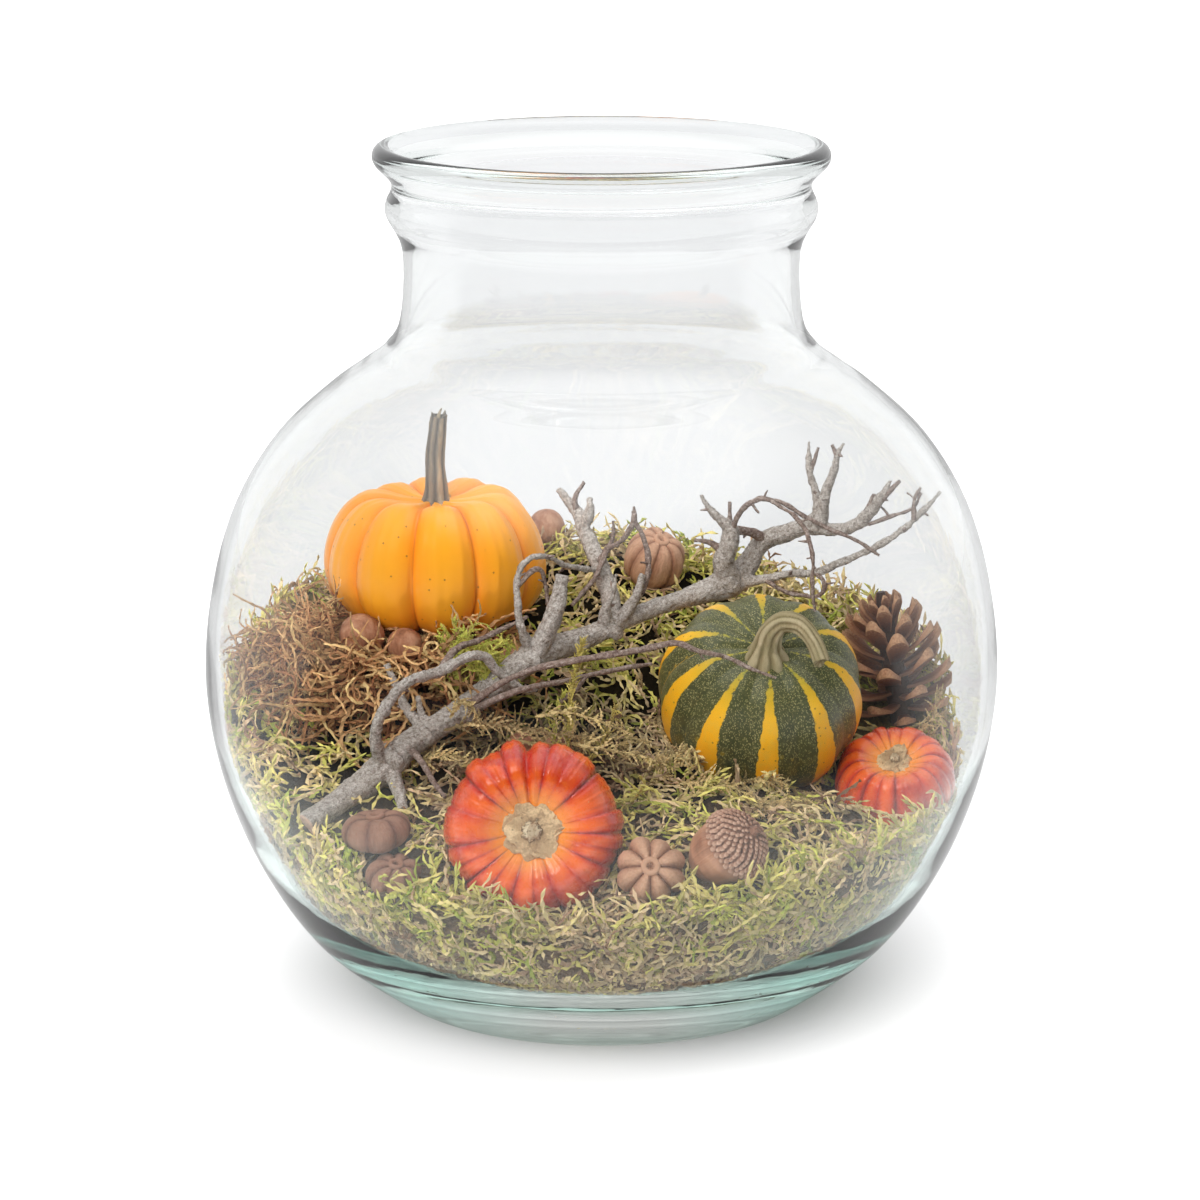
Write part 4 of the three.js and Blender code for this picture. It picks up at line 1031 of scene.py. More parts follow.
tan_moss = moss_finish("tan_feather_moss", [(0.0, (0.26, 0.16, 0.08)), (0.3, (0.60, 0.44, 0.215)),
                                            (0.5, (0.70, 0.55, 0.26)), (0.75, (0.60, 0.55, 0.16)),
                                            (1.0, (0.42, 0.46, 0.10))], 0.4)
lime_moss = moss_finish("lime_feather_moss", [(0.0, (0.38, 0.26, 0.10)), (0.4, (0.62, 0.52, 0.15)),
                                              (0.7, (0.60, 0.62, 0.13)), (1.0, (0.46, 0.56, 0.08))], 0.55)
dress(sprig_middle, tan_moss, "moss_tan", "moss_sprig_middle")
dress(edge, tan_moss, "moss_tan", "moss_sprig_edge")
dress(plume, lime_moss, "moss_lime", "moss_plume")
dress(tuft, lime_moss, "moss_lime", "moss_tuft_green")

# %% [markdown]
# ## Ribbed fruits
# Pumpkins, the gourd, the red fruits and the small pods share one plan: a flattened ball with lobes between grooves
# that run from end to end and a dimple at both ends. Each starts as a UV sphere. Its rows and columns already run as
# the grooves do, so its points are only moved in and out. Where a point sits between two grooves, and how high
# it sits, is kept with the mesh, because stripes and creases follow the form.

# %% Ribbed body
def hollow_profile(rise, form):
    sink = form["dimple"] / form["height"] * np.exp(-(np.cos(rise) / 0.34) ** 2)
    return np.sin(rise) - np.sign(rise) * sink


def ribbed(name, form, around, rows, crease=0.0, uneven=0.012, soft=1.0, low_belly=0.0, wild=0.0, notch=0.0):
    """A lobed body at its place. crease adds fine furrows on each lobe; low_belly widens the lower half; wild makes
    the lobes unequal and every second groove shallow; notch cuts one groove deep."""
    piece, _, turn, rise = round_ball(name, around, rows)
    swayed = turn + wild * (np.sin(3 * turn + 1) + 0.6 * np.sin(5 * turn + form["ribs"]))
    nearest = np.round(form["ribs"] * swayed / (2 * math.pi)) % 2
    wave = 1 - (1 - np.abs(np.sin(form["ribs"] * swayed / 2)) ** soft) * (1 - 6 * wild * nearest)
    which = np.floor(form["ribs"] * swayed / (2 * math.pi)) % form["ribs"]
    own = uneven * np.sin(which * 2.7 + form["ribs"])
    fine = crease * (np.sin(turn * form["ribs"] * 3 + which) * 0.5
                     + np.sin(turn * form["ribs"] * 5 + 2.2 * which) * 0.5)
    lobe = 1 - form["groove"] * (1 - wave) + (own + fine) * wave
    lobe = lobe - notch * np.exp(-((turn - math.pi / 2) / 0.07) ** 2)
    crown = hollow_profile(np.linspace(-1.5, 1.5, 400), form).max()
    radius = form["radius"] * np.cos(rise) ** form["squareness"] * lobe
    radius = radius * (1 + low_belly * np.sin(-2 * rise) * (1 - 0.4 * np.abs(np.sin(rise))))
    height = form["height"] * hollow_profile(rise, form) / crown * np.minimum(lobe, 1)
    shape = np.column_stack([radius * np.cos(turn), radius * np.sin(turn), height])
    write_points(piece, shape * MM)
    paint(piece, "wave", wave)
    paint(piece, "turn", turn)
    paint(piece, "rise", rise)
    own_place = piece.data.attributes.new("own_place", "FLOAT_VECTOR", "POINT")
    own_place.data.foreach_set("vector", np.asarray(shape * MM, dtype=np.float32).ravel())
    set_down(piece, form)
    smooth(piece)
    return piece


orange = ribbed("pumpkin_body", ORANGE, 260, 100, 0.006, 0.014, 0.5, 0.03)
gourd = ribbed("gourd_body", GOURD, 260, 100, 0.003, 0.006, 1.0)
red_front = ribbed("red_fruit_front", FRUIT_FRONT, 320, 100, 0.007, 0.03, 0.42, 0.0, 0.09, 0.10)
red_right = ribbed("red_fruit_right", FRUIT_RIGHT, 256, 80, 0.006, 0.025, 0.42, 0.0, 0.07)
print("fruits", [len(p.data.polygons) for p in (orange, gourd, red_front, red_right)])

# %% [markdown]
# The orange rind is satin, a touch redder in its grooves and paler on its crests, with tiny dark pits. The gourd is
# almost black green under cream flecks that follow its meridians, with ten ragged yellow stripes that widen from
# the stem down. The red fruits are glossy: deep red in the creases and round the rim, orange-red on the crests,
# yellow close to the stalk.

# %% Rinds
rind = new_finish("orange_rind", 0.42, Coat_Weight=0.25, Coat_Roughness=0.3)
wave = stored("wave")
broad, fine, relief = weathered(place_of(), 45.0)
skin = ramp(wave, [(0.0, (0.62, 0.14, 0.006)), (0.18, (0.92, 0.25, 0.008)), (0.6, (1.0, 0.34, 0.010)),
                   (1.0, (1.0, 0.40, 0.012))])
skin = mix(grey(broad, 0.2, 0.8, 0.0, 0.35), skin, (0.98, 0.42, 0.03))
rise = stored("rise")
skin = mix(grey(rise, -0.3, -1.2, 0.0, 0.4), skin, (0.95, 0.24, 0.010))
pits = speckled(place_of(), 380.0, 0.13, 0.22)
skin = mix(times(pits, 0.75), skin, (0.20, 0.06, 0.012))
feed("Base Color", skin)
feed("Roughness", grey(fine, 0.0, 1.0, 0.34, 0.52))
bumpy(maths("SUBTRACT", relief, times(pits, 0.5)), 0.16, 0.0009)
dress(orange, rind, "orange_rind", "pumpkin_orange")

striped = new_finish("striped_rind", 0.45, Coat_Weight=0.15, Coat_Roughness=0.35)
turn, rise = stored("turn"), stored("rise")
wobble = noise(own_place((1, 1, 0.7)), 330.0, 6.0, 0.72)
sway = noise(own_place(), 55.0, 2.0, 0.5)
centre = maths("ABSOLUTE", maths("SINE", times_plus(turn, 5.0, times_plus(sway, 0.5, -0.25))))
from_crest = maths("SUBTRACT", 1.0, centre)
spread = grey(rise, 1.35, 0.0, 0.008, 0.18)
edge_noise = times_plus(wobble, 0.22, -0.11)
inside = maths("SUBTRACT", maths("ADD", spread, edge_noise), from_crest)
stripe = grey(inside, -0.006, 0.012)
streaks = noise(own_place((1, 1, 0.28)), 900.0, 3.0, 0.6)
dust = speckled(own_place((1, 1, 0.55)), 1900.0, 0.36, 0.8)
coarse = speckled(own_place((1, 1, 0.55)), 1050.0, 0.24, 0.4)
green = mix(noise(own_place(), 70.0, 3.0), (0.020, 0.030, 0.014), (0.085, 0.085, 0.027))
low_tone = grey(rise, 0.4, -0.7, 0.0, 0.8)
mottle = grey(noise(own_place(), 150.0, 4.0, 0.65), 0.42, 0.62)
green = mix(times(low_tone, mottle), green, (0.36, 0.22, 0.02))
blots = speckled(own_place((1, 1, 0.8)), 250.0, 0.2, 0.3)
green = mix(times(blots, grey(rise, 0.5, -0.2, 0.0, 0.8)), green, (0.62, 0.40, 0.03))
green = mix(times(grey(streaks, 0.5, 0.72), 0.35), green, (0.22, 0.22, 0.10))
green = mix(times(dust, 0.55), green, (0.46, 0.41, 0.17))
green = mix(times(coarse, 0.6), green, (0.50, 0.45, 0.20))
yellow = ramp(grey(rise, 1.3, 0.2), [(0.0, (0.30, 0.30, 0.035)), (0.45, (0.92, 0.50, 0.02)), (1.0, (1.0, 0.46, 0.010))])
yellow = mix(grey(wobble, 0.45, 0.7, 0.0, 0.5), yellow, (0.78, 0.50, 0.06))
brown_dots = speckled(own_place(), 480.0, 0.17, 0.4)
yellow = mix(times(brown_dots, 0.7), yellow, (0.22, 0.10, 0.015))
feed("Base Color", mix(stripe, green, yellow))
feed("Roughness", grey(streaks, 0.3, 0.7, 0.36, 0.55))
bumpy(maths("ADD", streaks, times(dust, 0.3)), 0.15, 0.0006)
dress(gourd, striped, "striped_rind", "gourd_green")


def red_rind(name, deep):
    finish = new_finish(name, 0.3, Coat_Weight=0.45, Coat_Roughness=0.07)
    wave, rise = stored("wave"), stored("rise")
    broad, fine, relief = weathered(own_place(), 62.0)
    veins = noise(own_place((1, 1, 0.35)), 420.0, 4.0, 0.6)
    skin = ramp(wave, [(0.0, (0.09, 0.005, 0.006)), (0.3, (0.22, 0.011, 0.008)), (0.55, deep),
                       (0.8, (0.74, 0.062, 0.012)), (1.0, (0.90, 0.13, 0.017))])
    skin = mix(grey(broad, 0.35, 0.9, 0.0, 0.9), skin, deep)
    near_top = times(grey(rise, 0.85, 1.4, 0.0, 0.8), grey(wave, 0.3, 0.95))
    skin = mix(times(near_top, grey(veins, 0.25, 0.6)), skin, (0.95, 0.21, 0.016))
    skin = mix(grey(rise, 1.2, 1.42, 0.0, 0.7), skin, (0.96, 0.36, 0.03))
    skin = mix(times(grey(veins, 0.58, 0.72), 0.35), skin, (0.80, 0.17, 0.03))
    pits = speckled(own_place(), 330.0, 0.08, 0.2)
    skin = mix(times(pits, 0.7), skin, (0.95, 0.62, 0.35))
    feed("Base Color", skin)
    feed("Roughness", grey(fine, 0.0, 1.0, 0.2, 0.38))
    bumpy(times_plus(veins, 0.5, relief), 0.12, 0.0008)
    return finish


dress(red_front, red_rind("red_rind_front", (0.50, 0.020, 0.010)), "red_rind", "fruit_front")
dress(red_right, red_rind("red_rind_right", (0.46, 0.030, 0.018)), "red_rind", "fruit_right")

# %% [markdown]
# ## The branch
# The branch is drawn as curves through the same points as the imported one: a curve with a thickness at every
# point is how one would draw a limb by hand. The thick limbs are turned into meshes, melted into one body by a
# remesh, so that forks flow together, and roughened with two sizes of bark. Thin twigs stay fine tubes.

# %% Lines of the branch
BRANCH = [(-96.5, -68, 73.6, 4.3), (-86, -58, 79, 4.2), (-72, -50, 88, 5.3), (-65, -47, 94, 4.8), (-51, -38, 101, 4.3),
          (-36, -29, 110, 4.5), (-23, -20, 118, 4.9), (-5, -8, 122, 3.9), (18, 6, 129, 3.1), (34, 15, 132, 4),
          (45, 21, 135, 5.9)]
LIMBS = {
    "knot_stub": [(-70, -49, 89, 3), (-67, -57, 83, 2.3), (-65, -63, 78, 1.6)],
    "rootlet": [(-64, -47, 94, 1.6), (-59, -57, 92, 1), (-55, -62, 87, 0.9), (-51, -66, 83, 0.6)],
    "sawn_limb": [(-24, -21, 117, 4), (-19, -22, 126, 3.4), (-15, -21, 136, 3), (-13, -19, 147, 2.3)],
    "arch_limb": [(-72, -50, 88, 2.8), (-74, -58, 102, 1.9), (-71, -60, 111, 1.8), (-65, -57, 118, 1.8),
        (-53, -49, 121, 1.8), (-40, -41, 124, 1.7), (-34, -37, 117, 1.5), (-25, -36, 111, 1.2),
        (-18, -36, 113, 0.8)],
    "stub_low": [(-58, -42, 98, 2.2), (-65, -38, 105, 1.7), (-68, -34, 111, 1.5), (-72, -30, 118, 1.3)],
    "stub_mid": [(-57, -42, 99, 2), (-60, -41, 105, 1.3), (-61, -40, 110, 0.9)],
    "dark_twig": [(-53, -49, 121, 1.2), (-48, -40, 126, 1.2), (-41, -32, 127, 1), (-34, -26, 129, 0.9),
        (-25, -19, 132, 0.7)],
    "loop_twig": [(-23, -21, 119, 2.4), (-27, -26, 131, 1.5), (-28, -25, 139, 1.2), (-28, -23, 147, 1.1),
        (-25, -21, 152, 1.1), (-19, -15, 152, 1), (-12, -6, 147, 1), (-5, 2, 144, 1), (0, 10, 141, 0.9)],
    "loop_inner": [(-28, -24, 144, 0.8), (-21, -20, 149, 0.8), (-19, -18, 144, 0.7), (-18, -17, 136, 0.6)],
    "limb_mid": [(3, -5, 123, 3.2), (3, 5, 133, 3.3), (0, 13, 141, 3.1), (-3, 17, 147, 2.9), (-6, 22, 153, 2.4),
        (-9, 26, 159, 2.1), (-15, 28, 165, 0.9)],
    "limb_mid_tip": [(-9, 25, 159, 1.3), (-9, 25, 163, 0.9), (-6, 24, 168, 0.6)],
    "limb_mid_knob": [(-6, 22, 154, 2.1), (-4, 21, 160, 1.7), (-4, 21, 164, 1)],
    "spray_up": [(-1, 14, 142, 1.4), (2, 9, 149, 1), (6, 6, 152, 0.9), (9, 4, 156, 0.8), (11, 3, 160, 0.9),
        (11, 3, 165, 0.5)],
    "spray_down": [(2, 9, 149, 0.9), (-2, 3, 141, 0.9), (-6, -2, 137, 0.8), (-10, -6, 133, 0.6)],
    "spray_thin": [(2, 9, 148, 0.8), (4, 8, 154, 0.7), (4, 8, 159, 0.4)],
    "spray_outer": [(11, 3, 160, 0.8), (14, 3, 155, 0.9), (16, 2, 146, 1), (15, 1, 139, 1), (12, 1, 133, 0.9),
        (9, 1, 127, 0.9)],
    "crotch_twig": [(1, -5, 124, 2.9), (2, -8, 133, 1.7), (4, -9, 139, 1), (5, -10, 145, 0.6)],
    "crotch_stub": [(5, -3, 125, 2.4), (12, -2, 136, 1.7), (14, -1, 143, 1.1)],
    "limb_up": [(45, 20, 134, 4.8), (42, 16, 143, 3.8), (44, 15, 150, 3.4), (44, 15, 155, 2.7),
        (41, 14, 158, 1.7), (37, 13, 162, 1.2), (34, 12, 167, 0.6)],
    "limb_up_spur": [(44, 15, 153, 1.6), (44, 15, 158, 0.9), (44, 15, 164, 0.5)],
    "limb_up_side": [(43, 16, 146, 1.8), (37, 15, 150, 0.9), (32, 14, 151, 0.6)],
    "limb_right": [(46, 21, 134, 5), (51, 24, 141, 3.8), (56, 25, 148, 3.3), (63, 24, 151, 3.1),
        (70, 22, 154, 2.8), (77, 20, 159, 2.6)],
    "cross_twig": [(44, 15, 154, 1.7), (50, 19, 153, 1.4), (57, 25, 149, 2)],
    "antler_front": [(76, 20, 158, 2.4), (77, 17, 167, 1.7), (80, 15, 175, 1.4), (81, 14, 180, 1.1),
        (83, 13, 184, 0.5)],
    "antler_fork": [(81, 14, 179, 0.9), (79, 14, 183, 0.5)],
    "antler_back": [(75, 21, 157, 2.1), (74, 22, 165, 1.6), (72, 24, 172, 1.2), (72, 26, 182, 0.5)],
    "antler_back_fork": [(72, 24, 171, 0.9), (75, 24, 180, 0.4)],
    "spur_right": [(71, 22, 154, 2.4), (80, 17, 154, 2.1), (86, 13, 156, 2.1), (91, 9, 161, 2),
        (95, 5, 168, 1.6), (98, 3, 174, 0.6)],
    "spur_fork": [(95, 5, 167, 1.4), (101, 2, 174, 0.6)],
    "spur_knob": [(90, 10, 160, 1.5), (93, 8, 168, 0.7)],
    "spur_thin": [(85, 13, 156, 1), (92, 9, 158, 0.6), (98, 6, 161, 0.6), (106, 3, 165, 0.5),
        (108, 1, 170, 0.5)],
    "long_twig": [(48, 21, 135, 2.4), (56, 16, 137, 1.7), (65, 12, 140, 1.4), (73, 9, 141, 1.4),
        (83, 6, 146, 1.3), (93, 4, 151, 1.2), (103, 2, 158, 1.1), (109, 1, 164, 0.9), (115, 0, 171, 0.5)],
    "long_twig_tip": [(106, 1, 161, 0.9), (106, 1, 168, 0.6), (108, 1, 172, 0.4)],
    "ring_twig": [(57, 15, 137, 1), (61, 10, 135, 0.8), (68, 4, 134, 0.7), (75, 2, 135, 0.7), (76, 3, 138, 0.7),
        (73, 9, 141, 0.8)],
    "vine": [(45, 15, 154, 1), (47, 10, 161, 0.9), (51, 5, 166, 0.9), (55, 1, 168, 0.8), (61, -3, 166, 0.7),
        (67, -7, 162, 0.7), (70, -10, 156, 0.7), (71, -11, 151, 0.6), (71, -12, 141, 0.6), (72, -12, 132, 0.5)],
    "vine_side": [(54, 2, 168, 0.8), (61, 0, 167, 0.7), (68, -1, 163, 0.7), (76, -2, 159, 0.6),
        (86, -3, 155, 0.6), (94, -4, 150, 0.5)],
    "front_twig": [(-46, -38, 105, 1.6), (-29, -42, 117, 1), (-15, -44, 122, 1.1), (6, -45, 126, 1.1),
        (16, -46, 128, 1.1), (24, -47, 130, 1), (32, -50, 128, 0.9), (40, -53, 127, 0.8), (48, -56, 124, 0.7),
        (57, -58, 121, 0.5)],
    "low_twig": [(-48, -38, 102, 1.4), (-25, -42, 113, 1), (-16, -36, 113, 0.9), (-5, -30, 114, 0.8),
        (7, -24, 115, 0.8), (17, -18, 115, 0.6)],
    "low_stub": [(-5, -30, 114, 0.8), (-9, -34, 110, 0.9), (-14, -38, 107, 0.9)],
}


def as_curve(name, lines, fineness=5, grow=0.0, sides=3):
    """A curve object of smooth round limbs, each a line of (x, y, z, radius) in millimetres."""
    curve = bpy.data.curves.new(name, "CURVE")
    curve.dimensions = "3D"
    curve.resolution_u = fineness
    curve.bevel_depth = MM
    curve.bevel_resolution = sides
    curve.use_fill_caps = True
    for line in lines:
        spline = curve.splines.new("BEZIER")
        spline.bezier_points.add(len(line) - 1)
        spline.radius_interpolation = "CARDINAL"
        for point, (x, y, z, r) in zip(spline.bezier_points, line):
            point.co = (x * MM, y * MM, z * MM)
            point.handle_left_type = point.handle_right_type = "AUTO"
            point.radius = r + grow
    piece = bpy.data.objects.new(name, curve)
    scene.collection.objects.link(piece)
    return piece


def to_mesh(piece):
    pick_only(piece)
    bpy.ops.object.convert(target="MESH")
    return bpy.context.object


def voxel_melt(piece, size):
    melt = piece.modifiers.new("melt", "REMESH")
    melt.mode = "VOXEL"
    melt.voxel_size = size
    melt.use_smooth_shade = True
    apply_modifiers(piece)


def roughen(piece, grain, strength):
    """Pushes the surface in and out by a cloudy pattern of one size."""
    pattern = bpy.data.textures.new(piece.name + "_grain", "CLOUDS")
    pattern.noise_scale = grain
    pattern.noise_depth = 2
    push = piece.modifiers.new("roughen", "DISPLACE")
    push.texture = pattern
    push.texture_coords = "LOCAL"
    push.strength = strength
    push.mid_level = 0.5
    apply_modifiers(piece)


THICK = 1.9
thick_limbs = [line for line in LIMBS.values() if line[0][3] >= THICK]
thin_limbs = [line for line in LIMBS.values() if line[0][3] < THICK]
knots = [[(x - 1.2, y - 1, z - 1.2, r * 0.85), (x, y - 1.2, z, r), (x + 1.2, y - 1, z + 1.2, r * 0.85)]
         for x, y, z, r in ((-68, -49, 92, 5.6), (-58, -43, 98, 4.8), (-23, -20.5, 118.5, 5.4), (44, 20, 136, 6.3),
                            (-71, -58, 110, 2.2), (75, 20.5, 157, 3.1), (-46, -36, 104, 4.8), (4, -3, 124, 4.6))]
trunk = to_mesh(as_curve("branch_limbs", [BRANCH] + thick_limbs + knots, 8, 0.0, 4))
voxel_melt(trunk, 0.00055)
for grain, strength in ((0.0045, 0.0011), (0.0012, 0.0006), (0.0006, 0.00025)):
    roughen(trunk, grain, strength)
print("limbs", len(trunk.data.polygons))

# %% Thin twigs
twigs = to_mesh(as_curve("branch_twigs", thin_limbs, 7, 0.05, 2))
random = np.random.default_rng(5)
extra = []
for line in LIMBS.values():
    for x, y, z, r in line[1:-1]:
        if r < 2.2 and random.uniform() < 0.55:
            way = unit(random.normal(0, 1, 3) + (0, 0, 0.3)) * random.uniform(2.0, 4.5)
            extra.append([(x, y, z, r * 0.75), (x + way[0] * 0.5, y + way[1] * 0.5, z + way[2] * 0.6, r * 0.5),
                          (x + way[0], y + way[1], z + way[2], 0.28)])
buds = to_mesh(as_curve("branch_buds", extra, 3, 0.0, 1))
roughen(twigs, 0.0035, 0.0009)
roughen(buds, 0.002, 0.0005)
for piece in (trunk, twigs, buds):
    smooth(piece)
print("twigs", len(twigs.data.polygons), "buds", len(buds.data.polygons))

# %% [markdown]
# The bark is grey with pale lichen, brown in its furrows, and finely cracked. The twigs are a darker purple brown.
# The sawn end at the lower left shows bare pinkish wood: it is what lies beyond a plane across the limb.

# %% Bark
SAWN_WAY = tuple((Vector(BRANCH[0][:3]) - Vector(BRANCH[1][:3])).normalized())
SAWN_AT = Vector(BRANCH[0][:3]).dot(Vector(SAWN_WAY)) * MM


def bark_finish(name, deep, middle, pale, share):
    finish = new_finish(name, 0.85, Specular_IOR_Level=0.2)
    broad, fine, _ = weathered(place_of(), 130.0)
    cracks = put("ShaderNodeTexVoronoi", {"Vector": place_of((1, 1.6, 1.9)), "Scale": 900.0},
                 feature="DISTANCE_TO_EDGE").outputs["Distance"]
    limb_way = put("ShaderNodeVectorRotate", {"Vector": place_of(), "Axis": (0, 0.598, -0.801),
                                              "Angle": math.radians(36.2)})
    grain = noise(put("ShaderNodeMapping", {0: limb_way.outputs[0], "Scale": (0.2, 1, 1)}).outputs[0],
                  1300.0, 4.0, 0.65)
    colour = ramp(times_plus(grain, 0.55, times(fine, 0.5)),
                  [(0.22, deep), (0.5, middle), (0.78, pale)])
    lichen = grey(noise(place_of(), 210.0, 5.0, 0.7), 0.62 - share, 0.75 - share)
    colour = mix(times(lichen, 0.6), colour, pale)
    colour = mix(grey(cracks, 0.07, 0.0, 0.0, 0.75), colour, deep)
    colour = mix(times(broad, 0.25), colour, (0.16, 0.12, 0.08))
    out = measure("DOT_PRODUCT", place_of(), SAWN_WAY)
    colour = mix(grey(out, SAWN_AT - 0.8 * MM, SAWN_AT - 0.2 * MM, 0.0, 0.9), colour, (0.80, 0.56, 0.44))
    feed("Base Color", colour)
    feed("Roughness", grey(fine, 0.0, 1.0, 0.72, 0.95))
    bumpy(times_plus(grain, 0.8, maths("MINIMUM", cracks, 0.2)), 0.7, 0.0008)
    return finish


grey_bark = bark_finish("grey_bark", (0.13, 0.10, 0.08), (0.54, 0.48, 0.43), (0.88, 0.83, 0.78), 0.06)
twig_bark = bark_finish("twig_bark", (0.085, 0.055, 0.045), (0.31, 0.22, 0.185), (0.62, 0.52, 0.46), 0.0)
dress(trunk, grey_bark, "grey_bark", "branch")
dress(twigs, twig_bark, "grey_bark", "branch")
dress(buds, twig_bark, "grey_bark", "branch")

# %% [markdown]
# ## Stems
# The two stems are fluted: their section is a small star that fades to a round end. A ring of points is carried
# along the stem's line, which is what a skinned path does, with flutes, knobs and a broken tip worked in.

# %% Fluted stems
def fluted(name, line, sides, flutes, depth, steps=12, knobs=0.05, flare=0.0, ragged=0.0, seed=3):
    rows = smooth_line(line, steps)
    points, radii = rows[:, :3], rows[:, 3]
    ways = unit(np.gradient(points, axis=0))
    first = unit(np.cross(ways, (0.2, 1.0, 0.1)))
    second = np.cross(ways, first)
    random = np.random.default_rng(seed)
    angle = np.linspace(0, 2 * math.pi, sides, endpoint=False)
    place = np.linspace(0, 1, len(rows))
    uneven = random.uniform(0.5, 1.0, flutes)
    which = (np.floor(angle / (2 * math.pi) * flutes).astype(int)) % flutes
    ridge = np.abs(np.sin(angle * flutes / 2)) ** 0.8 * uneven[which]
    ring = 1 + depth * (ridge[None] - 0.55) * (1 - 0.3 * place[:, None])
    ring += knobs * np.sin(place[:, None] * 21 + 2 * np.sin(3 * angle)[None]) * np.sin(4 * angle + 1)[None]
    ring += flare * np.exp(-place[:, None] * 9) * (0.6 + ridge[None])
    size = radii[:, None] * ring
    shape = points[:, None] + first[:, None] * (np.cos(angle) * size)[..., None]
    shape = shape + second[:, None] * (np.sin(angle) * size)[..., None]
    lift = ragged * (np.sin(2 * angle + 0.6) + 0.5 * np.sin(5 * angle) + 0.4 * random.uniform(-1, 1, sides))
    shape[-1] += ways[-1] * lift[:, None]
    inner = shape[-1].mean(0) + (shape[-1] - shape[-1].mean(0)) * 0.6 - ways[-1] * (0.3 + 0.4 * abs(ragged))
    shape = np.concatenate([shape.reshape(-1, 3), inner, [points[0]], [points[-1] - ways[-1] * 0.6]])
    faces, count = [], len(rows)
    for k in range(count):
        for i in range(sides):
            j = (i + 1) % sides
            a, b = k * sides + i, k * sides + j
            faces += [(a, b, b + sides), (a, b + sides, a + sides)]
    start, end = (count + 1) * sides, (count + 1) * sides + 1
    for i in range(sides):
        j = (i + 1) % sides
        faces += [(start, j, i), (count * sides + i, count * sides + j, end)]
    piece = mesh_of(name, shape * MM, faces)
    wave = np.concatenate([np.tile(ridge, count + 1), [0, 0]])
    along = np.concatenate([np.repeat(place, sides), np.ones(sides), [0, 1]])
    paint(piece, "wave", wave)
    paint(piece, "along", along)
    edit_all(piece, bpy.ops.mesh.normals_make_consistent, inside=False)
    smooth(piece, 50)
    return piece


pumpkin_stem = fluted("pumpkin_stem", [(-57, 20, 158.5, 6.4), (-57, 20, 162, 5.4), (-57, 20, 166, 4.1),
                                       (-57.2, 19.8, 172, 3.5), (-57.2, 19.5, 180, 3.25), (-56, 18.5, 190, 3),
                                       (-55.6, 18, 193.6, 2.7)], 60, 7, 0.24, 14, 0.05, 0.25, 1.2)
fibre = to_mesh(as_curve("pumpkin_stem_fibre", [[(-56, 17.6, 190, 0.9), (-55.4, 17.4, 194.4, 0.6),
                                                 (-54.6, 17.4, 196.2, 0.25)],
                                                [(-58.4, 18.4, 187, 0.9), (-58.6, 18.2, 191, 0.5)]], 5, 0, 2))
gourd_stem = fluted("gourd_stem", [(53.9, -27.4, 114, 7.6), (54.7, -31.5, 121, 6.8), (55.0, -34.0, 126, 4.6),
                                   (56.2, -36.0, 131, 3.9), (60, -37.8, 134.8, 3.6), (65.5, -41.5, 134.8, 3.2),
                                   (69.6, -46.8, 130.6, 2.8), (72.3, -51.5, 124.6, 2.7)],
                    64, 9, 0.22, 12, 0.07, 0.3, 0.5, 8)


def stem_finish(name, groove, body, crest, stain):
    finish = new_finish(name, 0.8)
    wave = stored("wave")
    broad, _, relief = weathered(place_of(), 160.0)
    fibres = noise(place_of((1, 1, 0.16)), 1500.0, 4.0, 0.6)
    colour = ramp(times_plus(wave, 0.62, times(fibres, 0.5)),
                  [(0.2, groove), (0.5, body), (0.85, crest)])
    colour = mix(times(broad, 0.5), colour, stain)
    feed("Base Color", colour)
    bumpy(times_plus(fibres, 0.7, relief), 0.6, 0.0008)
    return finish


dark_stem = stem_finish("dark_stem", (0.05, 0.048, 0.045), (0.19, 0.17, 0.145), (0.62, 0.49, 0.32),
                        (0.14, 0.14, 0.125))
dress(pumpkin_stem, dark_stem, "grey_stem", "pumpkin_orange_stem")
paint(fibre, "wave", 0.8)
dress(fibre, dark_stem, "grey_stem", "pumpkin_orange_stem")
dress(gourd_stem, stem_finish("tan_stem", (0.12, 0.085, 0.04), (0.34, 0.27, 0.15), (0.60, 0.50, 0.32),
                              (0.27, 0.24, 0.12)), "tan_stem", "gourd_green_stem")

# %% [markdown]
# ## Calyxes
# Where the stalk came off, the red fruits carry a dry ragged collar round a woody disc with a pale peg. One thin
# torn sepal is modelled from a grid and copied round the disc, each copy a little different.

# %% Calyxes
def sepal(name, length, width):
    """A thin, torn leaf that lies along X with its root at the origin."""
    leaf = start_from(bpy.ops.mesh.primitive_grid_add, name, x_subdivisions=9, y_subdivisions=6, size=1,
                      location=(0.5, 0, 0))
    settle(leaf)
    points = read_points(leaf)
    t, s = points[:, 0], points[:, 1] * 2
    torn = 1 + 0.10 * np.sin(17 * t + 3 * s) - 0.16 * np.abs(s) * np.sin(11 * s + 4 * t)
    outline = np.sqrt(np.clip(1 - (t - 0.35) ** 2 / 0.55, 0.05, 1))
    x = length * t * (1 - 0.22 * np.abs(s) ** 1.5 + 0.08 * np.sin(9 * s)) * torn
    z = 0.7 * np.sin(3 * t) + 0.35 * np.sin(8 * s + 5 * t)
    write_points(leaf, np.column_stack([x, width * 0.5 * s * outline, z]) * MM)
    wall = leaf.modifiers.new("thick", "SOLIDIFY")
    wall.thickness = 0.6 * MM
    wall.offset = 0
    apply_modifiers(leaf)
    paint(leaf, "along", 0.45 + 0.55 * np.clip(read_points(leaf)[:, 0] / (length * MM), 0, 1))
    return leaf


